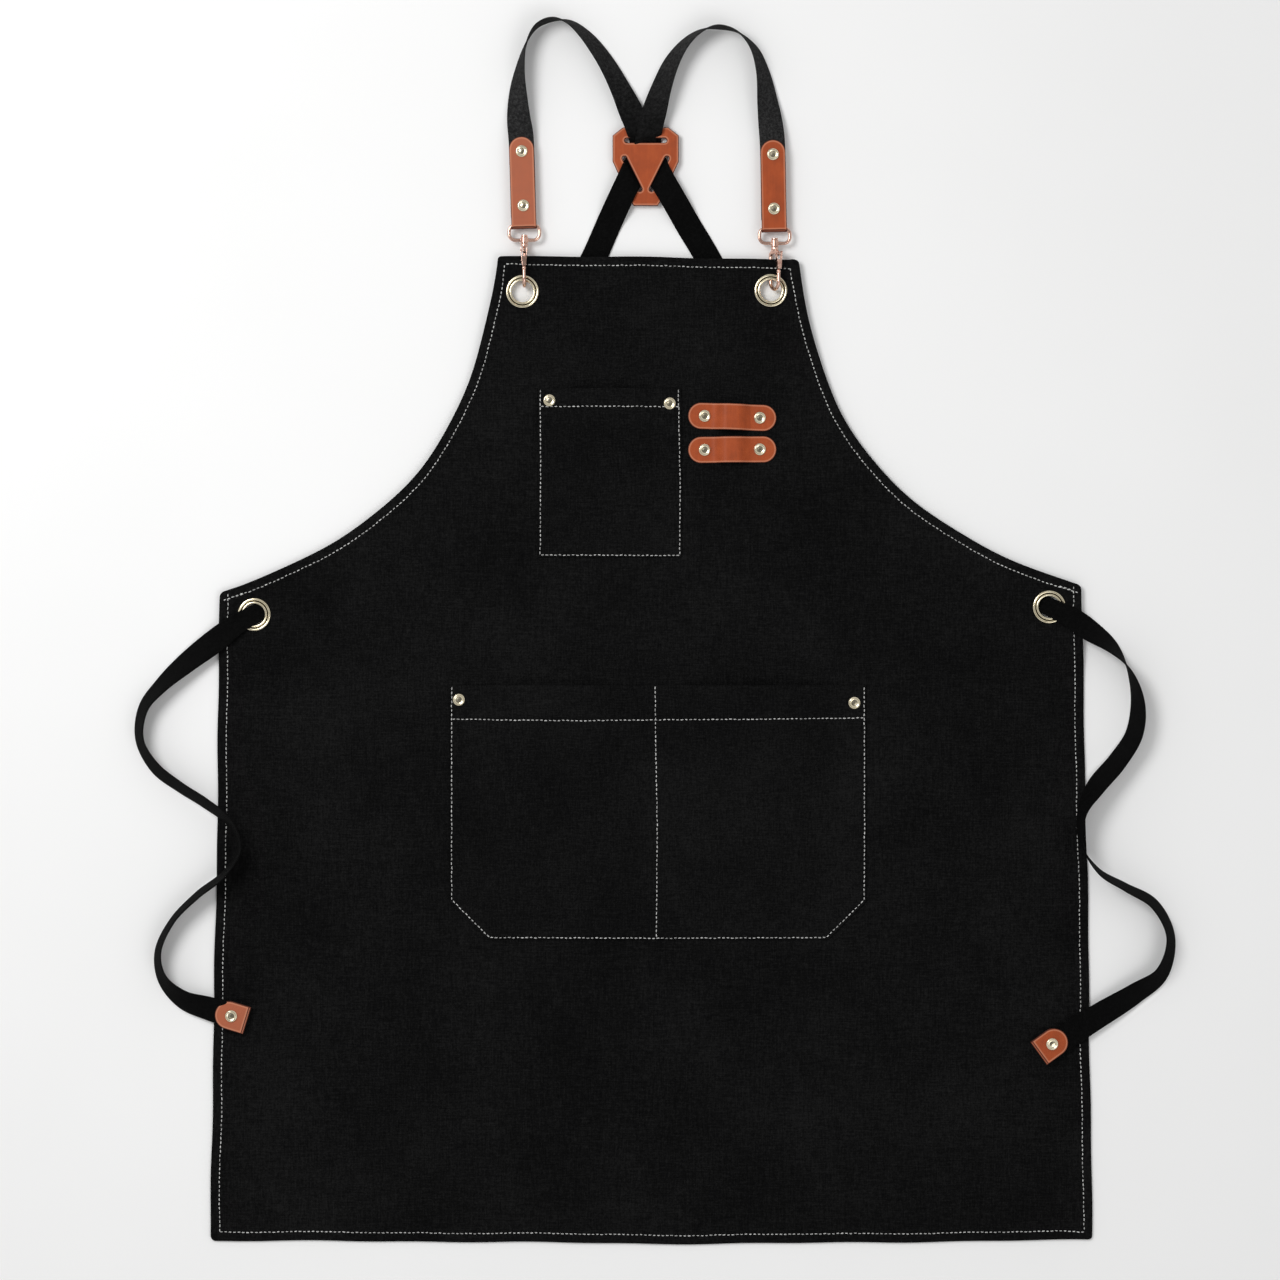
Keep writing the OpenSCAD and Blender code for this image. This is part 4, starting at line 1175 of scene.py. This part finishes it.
for place in ("tab", "pocket", "brush_loop"):
    seats = [(x, y, top - CAP_H * MM) for x, y, _, top in rivets_from(f"{place}_rivets")]
    if place == "pocket":
        seats = [on_pocket(x, y) for x, y, _ in seats]
    caps(f"{place}_caps", f"{place}_rivets", seats)
    back_caps(f"{place}_back_caps", f"{place}_rivet_backs", rivets_from(f"{place}_rivet_backs"))

# The end tabs' rivets travel with the ties, so each is a piece of its own
end_rivets = []
fronts = rivets_from("end_tab_rivets")
backs = rivets_from("end_tab_rivet_backs")
for (x, y, _, top), back, end in zip(fronts, backs, ("left", "right")):
    end_rivets.append([caps(f"{end}_end_cap", "end_tab_rivets", [(x, y, top - CAP_H * MM)]),
                       back_caps(f"{end}_end_back_cap", "end_tab_rivet_backs", [back])])

# ---------------------------------------------------------------- pieces finished from their CAD shape


def mark_edges(mesh):
    """Stores how far each vertex lies from the piece's cut edges, seen from above."""
    cut = [v.co for v in mesh.vertices if abs(v.normal.z) < 0.45]
    tree = KDTree(len(cut))
    for i, co in enumerate(cut):
        tree.insert((co.x, co.y, 0), i)
    tree.balance()
    layer = mesh.attributes.new("edge", "FLOAT", "POINT")
    for v in mesh.vertices:
        layer.data[v.index].value = tree.find((v.co.x, v.co.y, 0))[2]


def softened(node, name, material, voxel, smooth, body, slot):
    """A copy of a CAD piece with its edges rounded, as cut leather or cast metal has.
    Voxel is the remesh size in millimetres and smooth the number of smoothing rounds."""
    mesh = frame["nodes"][node].data.copy()
    piece = link(bpy.data.objects.new(name, mesh))
    remesh = piece.modifiers.new("round", "REMESH")
    remesh.mode = "VOXEL"
    remesh.voxel_size = voxel * MM
    relax = piece.modifiers.new("relax", "SMOOTH")
    relax.factor = 0.5
    relax.iterations = smooth
    graph = bpy.context.evaluated_depsgraph_get()
    made = bpy.data.meshes.new_from_object(piece.evaluated_get(graph))
    piece.modifiers.clear()
    piece.data = made
    made.materials.clear()
    made.materials.append(material)
    for poly in made.polygons:
        poly.use_smooth = True
        poly.material_index = 0
    if slot == "leather":
        mark_edges(made)
    return dress(piece, body, slot, node)


coarse = 2.0 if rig.quick() else 1.0


def cut_leather(node, name, material, voxel):
    return softened(node, name, material, voxel * coarse, 3, "apron", "leather")


cut_leather("upper_brush_loop", "upper_loop_leather", LEATHER, 0.3)
cut_leather("lower_brush_loop", "lower_loop_leather", LEATHER, 0.3)
cut_leather("left_strap_tab", "left_tab_leather", PAINTED_SHEEN_LEATHER, 0.25)
cut_leather("right_strap_tab", "right_tab_leather", LEATHER, 0.25)
cut_leather("cross_slider", "slider_leather", LEATHER, 0.28)
left_end = cut_leather("left_end_tab", "left_end_leather", PAINTED_SHEEN_LEATHER, 0.25)
right_end = cut_leather("right_end_tab", "right_end_leather", LEATHER, 0.25)
for side in ("left", "right"):
    softened(f"{side}_swivel_loop", f"{side}_loop_wire", ROSE_GOLD, 0.2, 3, "apron", "rose_gold")
    softened(f"{side}_snap_hook", f"{side}_hook_casting", ROSE_GOLD, 0.16, 5, f"{side}_hook", "rose_gold")
    softened(f"{side}_gate", f"{side}_gate_lever", ROSE_GOLD, 0.12, 4, f"{side}_gate", "rose_gold")

for node, obj in frame["nodes"].items():
    if node in ("left_gate_pin", "right_gate_pin"):
        paint = ROSE_GOLD
    elif node in ("left_gate_spring", "right_gate_spring"):
        paint = SPRING
    else:
        continue
    obj.data.materials.clear()
    obj.data.materials.append(paint)
    for poly in obj.data.polygons:
        poly.material_index = 0

# ---------------------------------------------------------------- declarations

# Each strap comes out of its hook's leather tab at this sample of its route
EXIT = 6
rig.cord(left_web, exit=left_path[EXIT], length=left_len, diameter=0.02, far_end="fitting",
        stiffness="medium", lay="loose", path=left_path, with_pieces=[right_end] + end_rivets[1])
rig.cord(right_web, exit=right_path[EXIT], length=right_len, diameter=0.02, far_end="fitting",
        stiffness="medium", lay="loose", path=right_path, with_pieces=[left_end] + end_rivets[0])
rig.sheet(panel, flat=(0.72, 0.804), area=0.448, held="laid")
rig.sheet(chest, flat=(0.1275, 0.155), held="laid", rests_on=[panel])
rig.sheet(lower, flat=(0.344, 0.2345), area=0.0798, held="laid", rests_on=[panel])


def make_floor():
    verts = [(-4, -4, 0), (4, -4, 0), (4, 4, 0), (-4, 4, 0)]
    floor = mesh_piece("floor", verts, [(0, 1, 2, 3)], floor_material(), smooth=False)
    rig.stage(floor)


make_floor()

with open("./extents.json", "w") as out:
    json.dump({"cad": [list(map(float, p)) for p in cad_box],
               "visual": [list(map(float, p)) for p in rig.bounds()]}, out)
